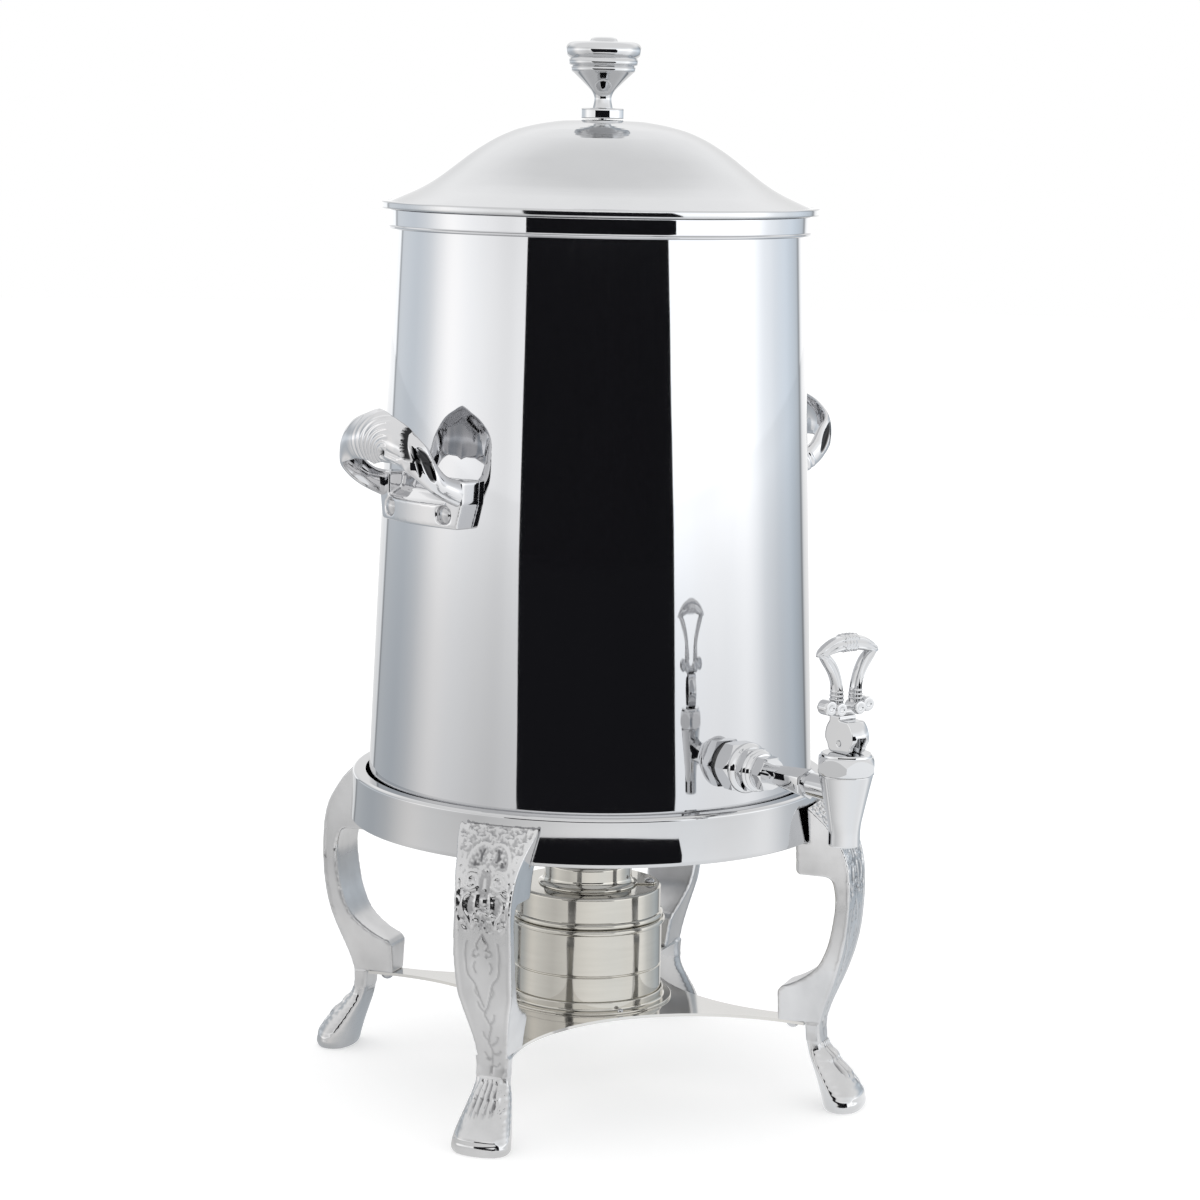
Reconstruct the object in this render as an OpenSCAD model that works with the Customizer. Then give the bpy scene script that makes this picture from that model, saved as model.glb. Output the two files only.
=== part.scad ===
// Coffee urn: a tapered polished vessel with a domed lid and a lever tap,
// standing loosely in the ring of a four-legged cast stand over a fuel burner.
// The origin is on the axis of the ring, at table height. The tap points to -Y.

/* [Stand] */
// Height of the top of the ring above the table
stand_h = 209; // [190:1:240]
// Gap all round between the vessel and the ring's wall
ring_gap = 1.2; // [0.8:0.1:4]
// Width of the ring's wall, from its outside to its inside
ring_wall = 10; // [8:0.5:12]
// Height of the ring's wall
ring_h = 31; // [26:1:40]
// Height of the roll along the ring's outer top edge
ring_roll_h = 12; // [8:0.5:14]
// Width of that roll
ring_roll_w = 8.5; // [4:0.5:8.5]
// How far the ledge that carries the vessel reaches in under its edge
ledge_w = 8.8; // [6:0.1:14]
// Thickness of the ledge
ledge_t = 3; // [2:0.5:5]
// Depth of the ledge's top below the ring's top
ledge_drop = 23; // [16:1:25]
// How far the stand is turned, in degrees, from square to the tap
stand_turn = 12.85; // [0:0.05:20]
// Height of the opening between the ring and the leg's inside corner
leg_arm_h = 22; // [16:1:28]
// Width of a leg at the ring
leg_top_w = 52; // [44:1:56]
// Width of a leg at the ankle
leg_ankle_w = 18; // [15:0.5:22]
// Width of a foot
foot_w = 34; // [28:1:40]
// How far a leg's knee stands out from the ring
knee_out = 27; // [22:0.5:32]
// How far a foot's toe stands out from the ring
foot_out = 36.5; // [30:0.5:42]
// How far a leg's ankle stands out from the ring
ankle_out = 6.5; // [4:0.5:9]

/* [Shelf] */
// Height of the shelf's upper face above the table
shelf_z = 56; // [50:1:64]
// Thickness of the shelf's sheet
shelf_t = 2; // [1.5:0.5:3]
// Height of the tab by which a leg is screwed to the shelf
tab_h = 20; // [16:0.5:24]
// How far that tab reaches in from the ring's outside
tab_l = 21; // [18:0.5:26]
// Radius of the shelf midway between two legs
shelf_waist_r = 63; // [60:1:75]
// Width of the shelf's tips
shelf_tip_w = 19; // [14:0.5:20]

/* [Burner] */
// Outer radius of the burner cup
burner_r = 49.7; // [47:0.1:52]
// Height of the burner from the shelf to the top of its cover
burner_h = 76; // [70:1:78]
// Height of the cup alone
cup_h = 55; // [50:1:57]
// Height of the groove above the shelf
groove_z = 23.5; // [15:0.5:30]
// Radius of the opening in the cover
flame_r = 27; // [20:0.5:28]
// Outer radius of the snuffer cap's wall
cap_r = 29; // [28.5:0.5:31]
// Height of the snuffer cap
cap_h = 15; // [10:1:18]
// How far the cap's foot flares out
cap_flare = 4; // [2:0.5:5]
// Distance from the burner's axis to the snuffer's pivot
pivot_r = 41; // [39:0.5:42]
// Thickness of the burner's sheet
burner_t = 1.2; // [0.8:0.1:1.5]

/* [Vessel] */
// Outer radius of the vessel at its bottom
vessel_bottom_r = 146.8; // [144:0.1:147]
// Outer radius of the vessel at its mouth
vessel_top_r = 131.7; // [125:0.1:140]
// Height of the vessel from its bottom to its mouth
vessel_h = 389; // [360:1:420]
// Thickness of the vessel's sheet
wall_t = 1.2; // [1:0.1:1.6]
// Height of the band round the mouth
collar_h = 12.7; // [10:0.1:18]
// Thickness of the band round the mouth
collar_t = 4.6; // [3:0.1:7]
// Radius of the bead under the band
collar_bead_r = 1.2; // [0.8:0.1:1.6]

/* [Lid] */
// How far the lid's rolled rim stands out over the band round the mouth
lid_over = 5.7; // [4.5:0.1:9]
// Thickness of the lid's sheet
lid_t = 1.2; // [0.8:0.1:1.6]
// Height of the lid's rolled rim
rim_bead_h = 5; // [4:0.5:6]
// Radius of curvature of the crown
crown_r = 400; // [350:10:450]
// Slope of the crown's edge in degrees
crown_slope = 4; // [3:0.5:6]
// Radius of curvature of the shoulder round the crown
shoulder_r = 100; // [90:1:110]
// Slope of the lid's flank in degrees
flank_slope = 37.5; // [34:0.5:40]
// Slope of the lid's skirt in degrees
skirt_slope = 24; // [20:0.5:27]
// Distance from the rim in to where the flank runs out into the skirt
skirt_w = 32.5; // [29:0.5:36]
// Radius of curvature of the hollow between the flank and the skirt
flare_r = 51; // [45:1:60]
// Depth of the ring that centres the lid in the mouth
locator_h = 16; // [10:1:20]

/* [Knob] */
// Height of the knob above its washer
knob_h = 45; // [40:0.5:50]
// Radius of the knob's rim
knob_r = 24.5; // [22:0.5:27]
// Radius of the knob's neck
knob_neck_r = 5.6; // [5:0.1:7]
// Radius of the washer under the knob
knob_washer_r = 13.9; // [11:0.1:16]
// Height of the washer under the knob
knob_washer_h = 6.6; // [4:0.1:8]

/* [Handles] */
// How far the pair of handles is turned, in degrees, from square to the tap
handle_turn = 4.3; // [0:0.1:8]
// Height of a handle base's lower edge above the vessel's bottom
handle_rise = 195.7; // [160:0.1:220]
// Width of a handle over its two arms
handle_w = 81; // [76:1:88]
// How far the base draws in on each side towards its lower edge
handle_draw = 4; // [0:0.5:6]
// Height of the base's front face
handle_band_h = 16; // [14:0.5:19]
// Height of the blocks from which the arms rise
handle_block_h = 30.5; // [28:0.5:34]
// How far the base stands out from the wall
handle_base_d = 12.8; // [11:0.1:14]
// Distance of a handle screw from the middle of the base
handle_screw_u = 26.5; // [22:0.5:28]
// Diameter of a handle screw's head
handle_screw_d = 11; // [9:0.5:12]
// How far the grip stands out from the wall
grip_reach = 48; // [44:0.5:54]
// Height of the grip's centre above the base's lower edge
grip_rise = 57; // [52:1:62]
// Height of the shell at the grip's centre
grip_w = 34.6; // [30:0.2:38]
// Thickness of the grip
grip_t = 7.4; // [6:0.2:9]

/* [Tap] */
// Height of the tap's axis above the vessel's bottom
tap_rise = 51; // [45:1:60]
// Radius of the hole for the tap in the wall
tap_hole_r = 8.3; // [8.2:0.1:9.5]
// Outer radius of the threaded shank
shank_r = 8; // [7.5:0.1:8.1]
// Distance from the wall to the spout's axis
tap_reach = 107; // [100:1:120]
// Radius over the corners of the nut against the wall
collar_nut_r = 16.5; // [15:0.5:19]
// Length of the nut against the wall
collar_nut_l = 11.5; // [9:0.5:13]
// Length of the coupling nut
coupling_l = 18; // [15:0.5:22]
// Radius of the spout at its top
spout_top_r = 16.2; // [15:0.1:18]
// Radius of the spout at its tip
spout_tip_r = 9.6; // [8.5:0.1:11]
// Radius of the outlet
outlet_r = 6; // [4.5:0.1:6.5]
// Radius over the corners of the bonnet
bonnet_r = 19.3; // [18:0.1:21]
// Height of the bonnet
bonnet_h = 13; // [11:0.5:15]
// Radius of the valve stem
stem_r = 3; // [2.6:0.1:3.2]
// Radius of the lever's pin
pin_r = 1.5; // [1.2:0.1:1.8]
// Radius of the lever's round hub
hub_r = 14; // [13:0.1:15]
// Half of the hub's width, from cheek to cheek
hub_cheek = 6.7; // [6:0.1:8]
// Height of the hub
hub_h = 20; // [18:0.5:22]
// Height of the lever's loop
loop_h = 49; // [46:0.5:54]
// Half width of the lever's loop
loop_half_w = 24; // [20:0.5:28]

/* [Fits] */
// Gap between curved faces of pieces that are fixed together
fit = 0.1; // [0.05:0.01:0.15]
// Gap between curved faces of pieces that come apart or move
play = 0.3; // [0.2:0.05:0.4]
// Radial clearance of a pin or stem that runs in a bore
running = 0.06; // [0.03:0.01:0.09]

/* [Hidden] */
$fn = 96;
eps = 0.01;

legs = [for (k = [0:3]) 45 + 90 * k - stand_turn];
ring_in_r = vessel_bottom_r + ring_gap;
ring_r = ring_in_r + ring_wall;
ledge_in_r = vessel_bottom_r - ledge_w;
ring_z = stand_h - ring_h;
ledge_z = stand_h - ledge_drop;
vessel_z = ledge_z;
mouth_z = vessel_z + vessel_h;
collar_r = vessel_top_r + collar_t;
taper = (vessel_bottom_r - vessel_top_r) / vessel_h;
// Outer radius of the vessel's wall at height z.
function wall_r(z) = vessel_bottom_r - (z - vessel_z) * taper;

// ---- Curves ---------------------------------------------------------------

// Points of an arc round (cx, cy) from angle a0 to a1.
function arc(cx, cy, r, a0, a1, n = 8) =
    [for (i = [0:n]) let (a = a0 + (a1 - a0) * i / n) [cx + r * cos(a), cy + r * sin(a)]];

// A point of a smooth curve through four neighbouring knots.
function blend_point(a, b, c, d, t) =
    0.5 * (2 * b + (c - a) * t + (2 * a - 5 * b + 4 * c - d) * t * t
        + (3 * b - a - 3 * c + d) * t * t * t);

// A smooth curve through all the knots, n points to a span.
function smooth(k, n = 4) = let (m = len(k) - 1) concat(
    [for (i = [0:m - 1], j = [0:n - 1])
        blend_point(k[max(i - 1, 0)], k[i], k[i + 1], k[min(i + 2, m)], j / n)],
    [k[m]]);

function unit(v) = v / norm(v);

function backwards(p) = [for (i = [len(p) - 1:-1:0]) p[i]];
function without_first(p) = [for (i = [1:len(p) - 1]) p[i]];
function without_last(p) = [for (i = [0:len(p) - 2]) p[i]];

// Direction of the curve p at point i.
function heading(p, i) = unit(p[min(i + 1, len(p) - 1)] - p[max(i - 1, 0)]);

// A closed solid swept along the curve p. Ring i is an ellipse with half axes
// wide[i], kept as near as it can be to the direction up, and thick[i].
module sweep(p, wide, thick, up, sides = 24) {
    n = len(p);
    rings = [for (i = [0:n - 1])
        let (t = heading(p, i), s = unit(cross(t, up)), u = cross(s, t))
        for (j = [0:sides - 1])
            let (a = 360 * j / sides) p[i] + wide[i] * cos(a) * u + thick[i] * sin(a) * s];
    walls = [for (i = [0:n - 2], j = [0:sides - 1])
        let (a = i * sides + j, b = i * sides + (j + 1) % sides)
        each [[a, b, b + sides], [a, b + sides, a + sides]]];
    ends = [
        [for (j = [sides - 1:-1:0]) j],
        [for (j = [0:sides - 1]) (n - 1) * sides + j]
    ];
    polyhedron(points = rings, faces = concat(ends, walls));
}

// ---- Stand ----------------------------------------------------------------

leg_screw_r = 2.5;
leg_screw_head_r = 4.2;
leg_screw_head_h = 4;
leg_screw_bite = 12;
leg_screw_spread = 11;
leg_screw_line = ring_r - ring_wall / 2;

module at_leg_screws(a) {
    for (side = [-1, 1])
        rotate(a) translate([leg_screw_line, side * leg_screw_spread, ring_z - leg_arm_h])
            children();
}

module stand_ring() {
    color("silver") difference() {
        rotate_extrude() polygon(concat(
            [
                [ledge_in_r, ledge_z - ledge_t],
                [ring_in_r, ledge_z - ledge_t],
                [ring_in_r, ring_z],
                [ring_r, ring_z]
            ],
            [for (p = arc(0, 0, 1, 0, 90, 12)) [
                ring_r - ring_roll_w * (1 - p[0]),
                stand_h - ring_roll_h * (1 - p[1])
            ]],
            arc(ring_in_r + 1, stand_h - 1, 1, 90, 180, 4),
            [[ring_in_r, ledge_z], [ledge_in_r, ledge_z]]
        ));
        for (a = legs)
            at_leg_screws(a) cylinder(r = leg_screw_r + fit, h = leg_arm_h + leg_screw_bite + fit);
    }
}

// The leg's outline seen from the side, as distance from the axis and height.
tab_r = ring_r - tab_l;
tab_top = shelf_z + tab_h;
leg_heel_r = ring_r - 2;
arm_z = ring_z - leg_arm_h;
arm_r = ring_in_r + 1;
// Height at a share f of the way from the shelf's tab to the ring's underside.
function shin_z(f) = tab_top + f * (ring_z - tab_top);

leg_front = smooth([
    [ring_r + fit, stand_h - 0.23 * ring_h],
    [ring_r + 0.3 * knee_out, stand_h - 0.47 * ring_h],
    [ring_r + 0.57 * knee_out, stand_h - 0.76 * ring_h],
    [ring_r + 0.83 * knee_out, shin_z(0.96)],
    [ring_r + 0.97 * knee_out, shin_z(0.82)],
    [ring_r + knee_out, shin_z(0.62)],
    [ring_r + 0.91 * knee_out, shin_z(0.36)],
    [ring_r + 0.67 * knee_out, shin_z(0.12)],
    [ring_r + ankle_out + 0.08 * foot_out, 1.14 * shelf_z],
    [ring_r + ankle_out, 0.84 * shelf_z],
    [ring_r + ankle_out + 0.08 * foot_out, 0.6 * shelf_z],
    [ring_r + 0.51 * foot_out, 0.42 * shelf_z],
    [ring_r + 0.78 * foot_out, 0.26 * shelf_z],
    [ring_r + 0.97 * foot_out, 0.134 * shelf_z],
    [ring_r + foot_out, 0]
]);
leg_back = smooth([
    [ring_r + 0.3 * foot_out, 0],
    [ring_r + 0.19 * foot_out, 0.27 * shelf_z],
    [ring_r + 0.055 * foot_out, 0.54 * shelf_z],
    [ring_r - 0.15 * ankle_out, 0.75 * shelf_z],
    [leg_heel_r, 0.93 * shelf_z]
]);
leg_inside = smooth([
    [tab_r + 3, tab_top + 3.5],
    [ring_r - 0.33 * knee_out, tab_top + 7.5],
    [ring_r + 0.04 * knee_out, shin_z(0.14)],
    [ring_r + 0.31 * knee_out, shin_z(0.22)],
    [ring_r + 0.52 * knee_out, shin_z(0.36)],
    [ring_r + 0.64 * knee_out, shin_z(0.54)],
    [ring_r + 0.645 * knee_out, shin_z(0.66)],
    [ring_r + 0.54 * knee_out, arm_z - 2],
    [ring_r + 0.3 * knee_out, arm_z]
]);

module leg_side() {
    polygon(concat(
        leg_front, leg_back,
        [[leg_heel_r, shelf_z], [tab_r, shelf_z], [tab_r, tab_top]],
        leg_inside,
        [[arm_r + 2, arm_z], [arm_r, arm_z + 2], [arm_r, ring_z], [ring_r + fit, ring_z]]
    ));
}

// Half of the leg's width at each height.
foot_half = foot_w / 2;
ankle_half = leg_ankle_w / 2;
top_half = leg_top_w / 2;
leg_half = smooth([
    [foot_half - 2, -2], [foot_half, 0.05 * shelf_z], [0.91 * foot_half, 0.2 * shelf_z],
    [0.78 * foot_half, 0.36 * shelf_z], [1.24 * ankle_half, 0.55 * shelf_z],
    [1.03 * ankle_half, 0.71 * shelf_z], [ankle_half, 0.91 * shelf_z],
    [1.09 * ankle_half, 1.09 * shelf_z], [1.3 * ankle_half, shelf_z + 0.9 * tab_h],
    [1.56 * ankle_half, shin_z(0.1)], [1.86 * ankle_half, shin_z(0.23)], [0.685 * top_half, shin_z(0.47)],
    [0.673 * top_half, shin_z(0.73)], [0.71 * top_half, shin_z(0.88)], [0.81 * top_half, ring_z + 3],
    [0.96 * top_half, ring_z + 0.55 * ring_h], [top_half, stand_h - 0.29 * ring_h]
], 3);

module leg_front_view() {
    top = [[top_half, stand_h], [-top_half, stand_h]];
    left = [for (i = [len(leg_half) - 1:-1:0]) [-leg_half[i][0], leg_half[i][1]]];
    polygon(concat(leg_half, top, left));
}

module leg(a) {
    reach = ring_r + 2 * foot_out;
    color("gainsboro") difference() {
        rotate(a) intersection() {
            rotate([90, 0, 0]) linear_extrude(height = 2 * leg_top_w, center = true) leg_side();
            rotate([90, 0, 90]) linear_extrude(height = reach) leg_front_view();
        }
        translate([0, 0, ring_z]) cylinder(r = ring_r + fit, h = ring_h);
        at_leg_screws(a) {
            translate([0, 0, -eps]) cylinder(r = leg_screw_r + fit, h = leg_arm_h + 1);
            translate([0, 0, -eps]) cylinder(r = leg_screw_head_r + fit, h = leg_screw_head_h);
        }
        rotate(a) translate([shelf_screw_line, 0, shelf_z - eps])
            cylinder(r = shelf_screw_r + fit, h = shelf_screw_bite);
    }
}
module leg_1() { leg(legs[0]); }
module leg_2() { leg(legs[1]); }
module leg_3() { leg(legs[2]); }
module leg_4() { leg(legs[3]); }

module leg_screws() {
    color("dimgray") for (a = legs) at_leg_screws(a) {
        cylinder(r = leg_screw_head_r, h = leg_screw_head_h - eps);
        cylinder(r = leg_screw_r, h = leg_arm_h + leg_screw_bite);
    }
}

// ---- Shelf and burner seat --------------------------------------------------

shelf_screw_r = 2.5;
shelf_screw_bite = 14;
shelf_screw_line = tab_r + 8;
shelf_tip_r = ring_r - 3;
// The circle that hollows each side of the shelf passes through the corners of two tips.
tip_x = shelf_tip_r;
tip_y = shelf_tip_w / 2;
side_c = (tip_x * tip_x + tip_y * tip_y - shelf_waist_r * shelf_waist_r)
    / (2 * ((tip_x + tip_y) * cos(45) - shelf_waist_r));
side_r = side_c - shelf_waist_r;

module shelf_plate() {
    seat_hole_r = seat_screw_r + fit;
    color("lightgray") translate([0, 0, shelf_z - shelf_t]) difference() {
        linear_extrude(height = shelf_t) difference() {
            polygon([for (a = legs, s = [-1, 1])
                [tip_x * cos(a) - s * tip_y * sin(a), tip_x * sin(a) + s * tip_y * cos(a)]]);
            for (a = legs) translate(side_c * [cos(a + 45), sin(a + 45)]) circle(r = side_r, $fn = 180);
        }
        for (a = legs) rotate(a) translate([shelf_screw_line, 0, -1])
            cylinder(r = shelf_screw_r + fit, h = shelf_t + 2);
        at_seat_screws() translate([0, 0, -1]) cylinder(r = seat_hole_r, h = shelf_t + 2);
    }
}

module shelf_screws() {
    head_h = 3.2;
    color("dimgray") for (a = legs) rotate(a) translate([shelf_screw_line, 0, shelf_z - shelf_t]) {
        cylinder(r = shelf_screw_r, h = shelf_t + shelf_screw_bite - 2);
        rotate_extrude() polygon(concat([[0, 0]], arc(0, 0, 4.6, 0, -90, 6)));
    }
}

seat_lip_h = 7;
seat_t = 1.5;
seat_in_r = burner_r + play;
seat_flange_r = seat_in_r + 7;
seat_screw_r = 1.2;
seat_screw_line = seat_in_r + 4.6;

module at_seat_screws() {
    for (k = [0:3]) rotate(90 * k - stand_turn) translate([seat_screw_line, 0, 0]) children();
}

module burner_seat() {
    color("silver") difference() {
        translate([0, 0, shelf_z]) rotate_extrude() polygon(concat(
            [[seat_in_r, 0], [seat_flange_r, 0], [seat_flange_r, seat_t]],
            arc(seat_in_r + seat_t + 1, seat_t + 1, 1, 270, 180, 4),
            arc(seat_in_r + seat_t / 2, seat_lip_h - seat_t / 2, seat_t / 2, 0, 180, 6)
        ));
        translate([0, 0, shelf_z]) at_seat_screws() translate([0, 0, -1])
            cylinder(r = seat_screw_r + fit, h = seat_t + 2);
    }
}

module seat_screws() {
    color("gray") translate([0, 0, shelf_z]) at_seat_screws() {
        translate([0, 0, -shelf_t]) cylinder(r = seat_screw_r, h = shelf_t + seat_t);
        translate([0, 0, seat_t]) rotate_extrude()
            polygon(concat([[0, 0]], arc(0, 0, 2, 0, 90, 5)));
    }
}

// ---- Burner -----------------------------------------------------------------

cup_in_r = burner_r - burner_t;
cup_z = shelf_z + cup_h;
burner_top = shelf_z + burner_h;
bead_r = 1.7;
cover_r = burner_r - 1;
skirt_out_r = cup_in_r - play;
skirt_drop = 7;
pivot_a = -38;
rivet_r = 2;
rivet_head_r = 3.4;
rivet_head_h = 1.4;
cap_t = 1;

module burner_cup() {
    groove = 0.8;
    color("silver") translate([0, 0, shelf_z]) rotate_extrude() union() {
        polygon(concat(
            [[0, 0]], arc(burner_r - 1.5, 1.5, 1.5, 270, 360, 4),
            [
                [burner_r, groove_z - groove], [burner_r - groove, groove_z - groove / 2],
                [burner_r - groove, groove_z + groove / 2], [burner_r, groove_z + groove],
                [burner_r, cup_h], [cup_in_r, cup_h], [cup_in_r, burner_t + 0.3], [0, burner_t + 0.3]
            ]
        ));
        translate([cup_in_r + bead_r + fit, cup_h - bead_r - 0.3]) circle(r = bead_r, $fn = 32);
    }
}

module burner_cover() {
    color("gainsboro") difference() {
        rotate_extrude() union() {
            polygon(concat(
                [
                    [skirt_out_r - burner_t, cup_z - skirt_drop], [skirt_out_r, cup_z - skirt_drop],
                    [skirt_out_r, cup_z], [cover_r, cup_z]
                ],
                arc(cover_r - 2, burner_top - 2, 2, 0, 90, 5),
                [
                    [flame_r, burner_top], [flame_r, burner_top - burner_t],
                    [skirt_out_r - burner_t, burner_top - burner_t]
                ]
            ));
            translate([cover_r - 0.3 + bead_r / 3, cup_z + bead_r + 0.3]) circle(r = bead_r, $fn = 32);
        }
        rotate(pivot_a) translate([pivot_r, 0, burner_top - burner_t - 1])
            cylinder(r = rivet_r + fit, h = burner_t + 2);
    }
}

module snuffer_rivet() {
    color("gray") rotate(pivot_a) translate([pivot_r, 0, burner_top]) {
        translate([0, 0, -burner_t - rivet_head_h]) cylinder(r = rivet_head_r, h = rivet_head_h);
        translate([0, 0, -burner_t]) cylinder(r = rivet_r, h = burner_t + cap_t + 2 * fit + eps);
        translate([0, 0, cap_t + 2 * fit]) rotate_extrude()
            polygon(concat([[0, 0]], arc(0, 0, rivet_head_r, 0, 90, 6)));
    }
}

module snuffer_cap() {
    flange_r = cap_r + cap_flare;
    color("gainsboro") translate([0, 0, burner_top + fit]) difference() {
        union() {
            rotate_extrude() polygon(concat(
                [[cap_r - burner_t, 0], [flange_r, 0]],
                arc(flange_r, cap_t + cap_flare, cap_flare, 270, 180, 6),
                arc(cap_r - 2, cap_h - 2, 2, 0, 90, 5),
                [[0, cap_h], [0, cap_h - burner_t], [cap_r - burner_t, cap_h - burner_t]]
            ));
            rotate(pivot_a) {
                translate([cap_r + 1, -5, 0]) cube([pivot_r - cap_r - 1, 10, cap_t]);
                translate([pivot_r, 0, 0]) cylinder(r = 5, h = cap_t);
            }
        }
        rotate(pivot_a) translate([pivot_r, 0, -1]) cylinder(r = rivet_r + running, h = cap_t + 2);
    }
}

// ---- Vessel -----------------------------------------------------------------

tap_z = vessel_z + tap_rise;

// The outside of the vessel's wall as a solid, grown by g.
module wall_envelope(g) {
    translate([0, 0, vessel_z])
        cylinder(r1 = vessel_bottom_r + g, r2 = vessel_top_r + g, h = vessel_h);
}

module vessel_shell() {
    floor_t = wall_t + 0.3;
    edge = 3;
    color("whitesmoke") difference() {
        rotate_extrude($fn = 180) polygon(concat(
            [[0, vessel_z]],
            arc(wall_r(vessel_z + edge) - edge, vessel_z + edge, edge, 270, 360, 5),
            [
                [vessel_top_r, mouth_z], [vessel_top_r - wall_t, mouth_z],
                [wall_r(vessel_z + floor_t) - wall_t, vessel_z + floor_t], [0, vessel_z + floor_t]
            ]
        ));
        translate([0, 0, tap_z]) rotate([90, 0, 0]) cylinder(r = tap_hole_r, h = vessel_bottom_r + 10);
    }
}

module rim_collar() {
    low = mouth_z - collar_h;
    color("silver") rotate_extrude($fn = 180) union() {
        polygon([
            [wall_r(low) + fit, low], [collar_r, low], [collar_r, mouth_z - 0.6],
            [collar_r - 0.6, mouth_z], [vessel_top_r + fit, mouth_z]
        ]);
        translate([collar_r - 0.2, low + collar_bead_r]) circle(r = collar_bead_r, $fn = 32);
    }
}

// ---- Handles ----------------------------------------------------------------

handle_z = vessel_z + handle_rise;
handle_wall_r = wall_r(handle_z);
handle_front_r = handle_wall_r + handle_base_d;
handle_slope_h = handle_block_h - handle_band_h;
base_u = handle_w / 2;
block_w = 12.5;
handle_screw_z = handle_z + handle_band_h / 2 + 0.8;
handle_screw_head_h = 2.4;
handle_screw_r = 2.5;
// How far the front of the base stands back from a flat plane at the screws.
handle_screw_sink = handle_front_r - sqrt(pow(handle_front_r, 2) - pow(handle_screw_u, 2));

module at_handle_screws() {
    for (s = [-1, 1])
        translate([handle_front_r - handle_screw_sink, s * handle_screw_u, handle_screw_z])
            rotate([0, 90, 0]) children();
}

// The base is a band bent round the wall, hollowed on top, with a block at each end.
module handle_base() {
    back_r = handle_wall_r - 8;
    slope_z = handle_z + handle_band_h;
    top_z = handle_z + handle_block_h;
    span = asin(base_u / handle_wall_r) + 1;
    color("gainsboro") difference() {
        intersection() {
            rotate(-span) rotate_extrude(angle = 2 * span, $fn = 180) polygon([
                [back_r, handle_z], [handle_front_r - 1.5, handle_z],
                [handle_front_r, handle_z + 1.5], [handle_front_r, top_z], [back_r, top_z]
            ]);
            rotate([90, 0, 90]) linear_extrude(height = handle_front_r) polygon([
                [handle_draw - base_u, handle_z], [base_u - handle_draw, handle_z],
                [base_u, slope_z], [base_u, top_z], [-base_u, top_z], [-base_u, slope_z]
            ]);
        }
        intersection() {
            rotate(-span) rotate_extrude(angle = 2 * span, $fn = 180) polygon([
                [handle_front_r + 1, slope_z - 1.5], [handle_front_r, slope_z - 1.5],
                [handle_front_r - 2, slope_z + 0.5], [wall_r(top_z) + 3.5, slope_z + handle_slope_h / 3],
                [wall_r(top_z) + 1.5, top_z + eps], [handle_front_r + 1, top_z + eps]
            ]);
            translate([0, block_w - base_u, handle_z])
                cube([handle_front_r + 1, 2 * (base_u - block_w), handle_block_h + 1]);
        }
        wall_envelope(fit);
        at_handle_screws() {
            translate([0, 0, -handle_base_d - 30]) cylinder(r = handle_screw_r + fit, h = handle_base_d + 31);
            translate([0, 0, -handle_screw_head_h]) cylinder(r = handle_screw_d / 2 + 0.4, h = 20);
        }
    }
}

// The grip leaves one block outwards, rises, crosses in front as a broad shell
// that peaks in the middle, and comes back to the other block.
grip_x = handle_wall_r + grip_reach - grip_t / 2;
arm_u = base_u - grip_t / 2;
root_z = handle_z + handle_block_h - 8;
// Height at a share f of the way from the grip's roots to its middle.
function grip_z(f) = root_z + f * (handle_z + grip_rise - root_z);
grip_half = [
    [grip_x, 0, grip_z(1)],
    [grip_x - 0.2, 0.33 * arm_u, grip_z(0.965)],
    [grip_x - 1, 0.65 * arm_u, grip_z(0.88)],
    [grip_x - 5, 0.94 * arm_u, grip_z(0.68)],
    [handle_front_r + 16.5, arm_u + 0.7, grip_z(0.36)],
    [handle_front_r + 6, arm_u + 0.3, grip_z(0.14)],
    [handle_front_r - 7, arm_u, grip_z(0)]
];
// Half of the grip's height at each of these knots.
shell_half = [grip_w / 2, 0.85 * grip_w / 2, 0.71 * grip_w / 2, 10, 7.5, 7, 8.2];
grip_line = smooth(concat(
    [for (k = backwards(grip_half)) [k[0], -k[1], k[2]]], without_first(grip_half)
));
shell_line = smooth([for (h = concat(backwards(shell_half), without_first(shell_half))) [h, 0]]);

module handle_grip() {
    color("silver") difference() {
        sweep(
            grip_line, [for (h = shell_line) h[0]], [for (h = shell_line) grip_t / 2],
            [-0.12, 0, 1]
        );
        translate([0, 0, handle_z]) cylinder(r = handle_front_r + fit, h = 2 * handle_block_h, $fn = 180);
    }
}

module handle_screw_pair() {
    color("gray") at_handle_screws() {
        translate([0, 0, -handle_screw_head_h]) rotate_extrude() polygon(concat(
            [[0, 0], [handle_screw_d / 2, 0]],
            arc(0, -3, handle_screw_d / 2 + 0.5, 40, 90, 5)
        ));
        translate([0, 0, -handle_base_d - 8]) cylinder(r = handle_screw_r, h = handle_base_d + 6);
    }
}

module handle_base_right() { rotate(handle_turn) handle_base(); }
module handle_base_left() { rotate(handle_turn + 180) handle_base(); }
module handle_grip_right() { rotate(handle_turn) handle_grip(); }
module handle_grip_left() { rotate(handle_turn + 180) handle_grip(); }
module handle_screws() {
    difference() {
        for (half = [0, 180]) rotate(handle_turn + half) handle_screw_pair();
        wall_envelope(fit);
    }
}

// ---- Tap --------------------------------------------------------------------

// Tap pieces are drawn along their own axis, from the vessel's axis outwards.
module along_tap() {
    translate([0, 0, tap_z]) rotate([90, 0, 0]) children();
}
tap_wall = wall_r(tap_z);
gasket_t = 2;
nut_start = tap_wall + gasket_t;
coupling_start = nut_start + collar_nut_l;
coupling_end = coupling_start + coupling_l;
spout_s = tap_wall + tap_reach;
locknut_l = 7;
shank_in = tap_wall - wall_t - gasket_t - locknut_l - 5;
shank_bore_r = 5;
gasket_r = 13.5;

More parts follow.
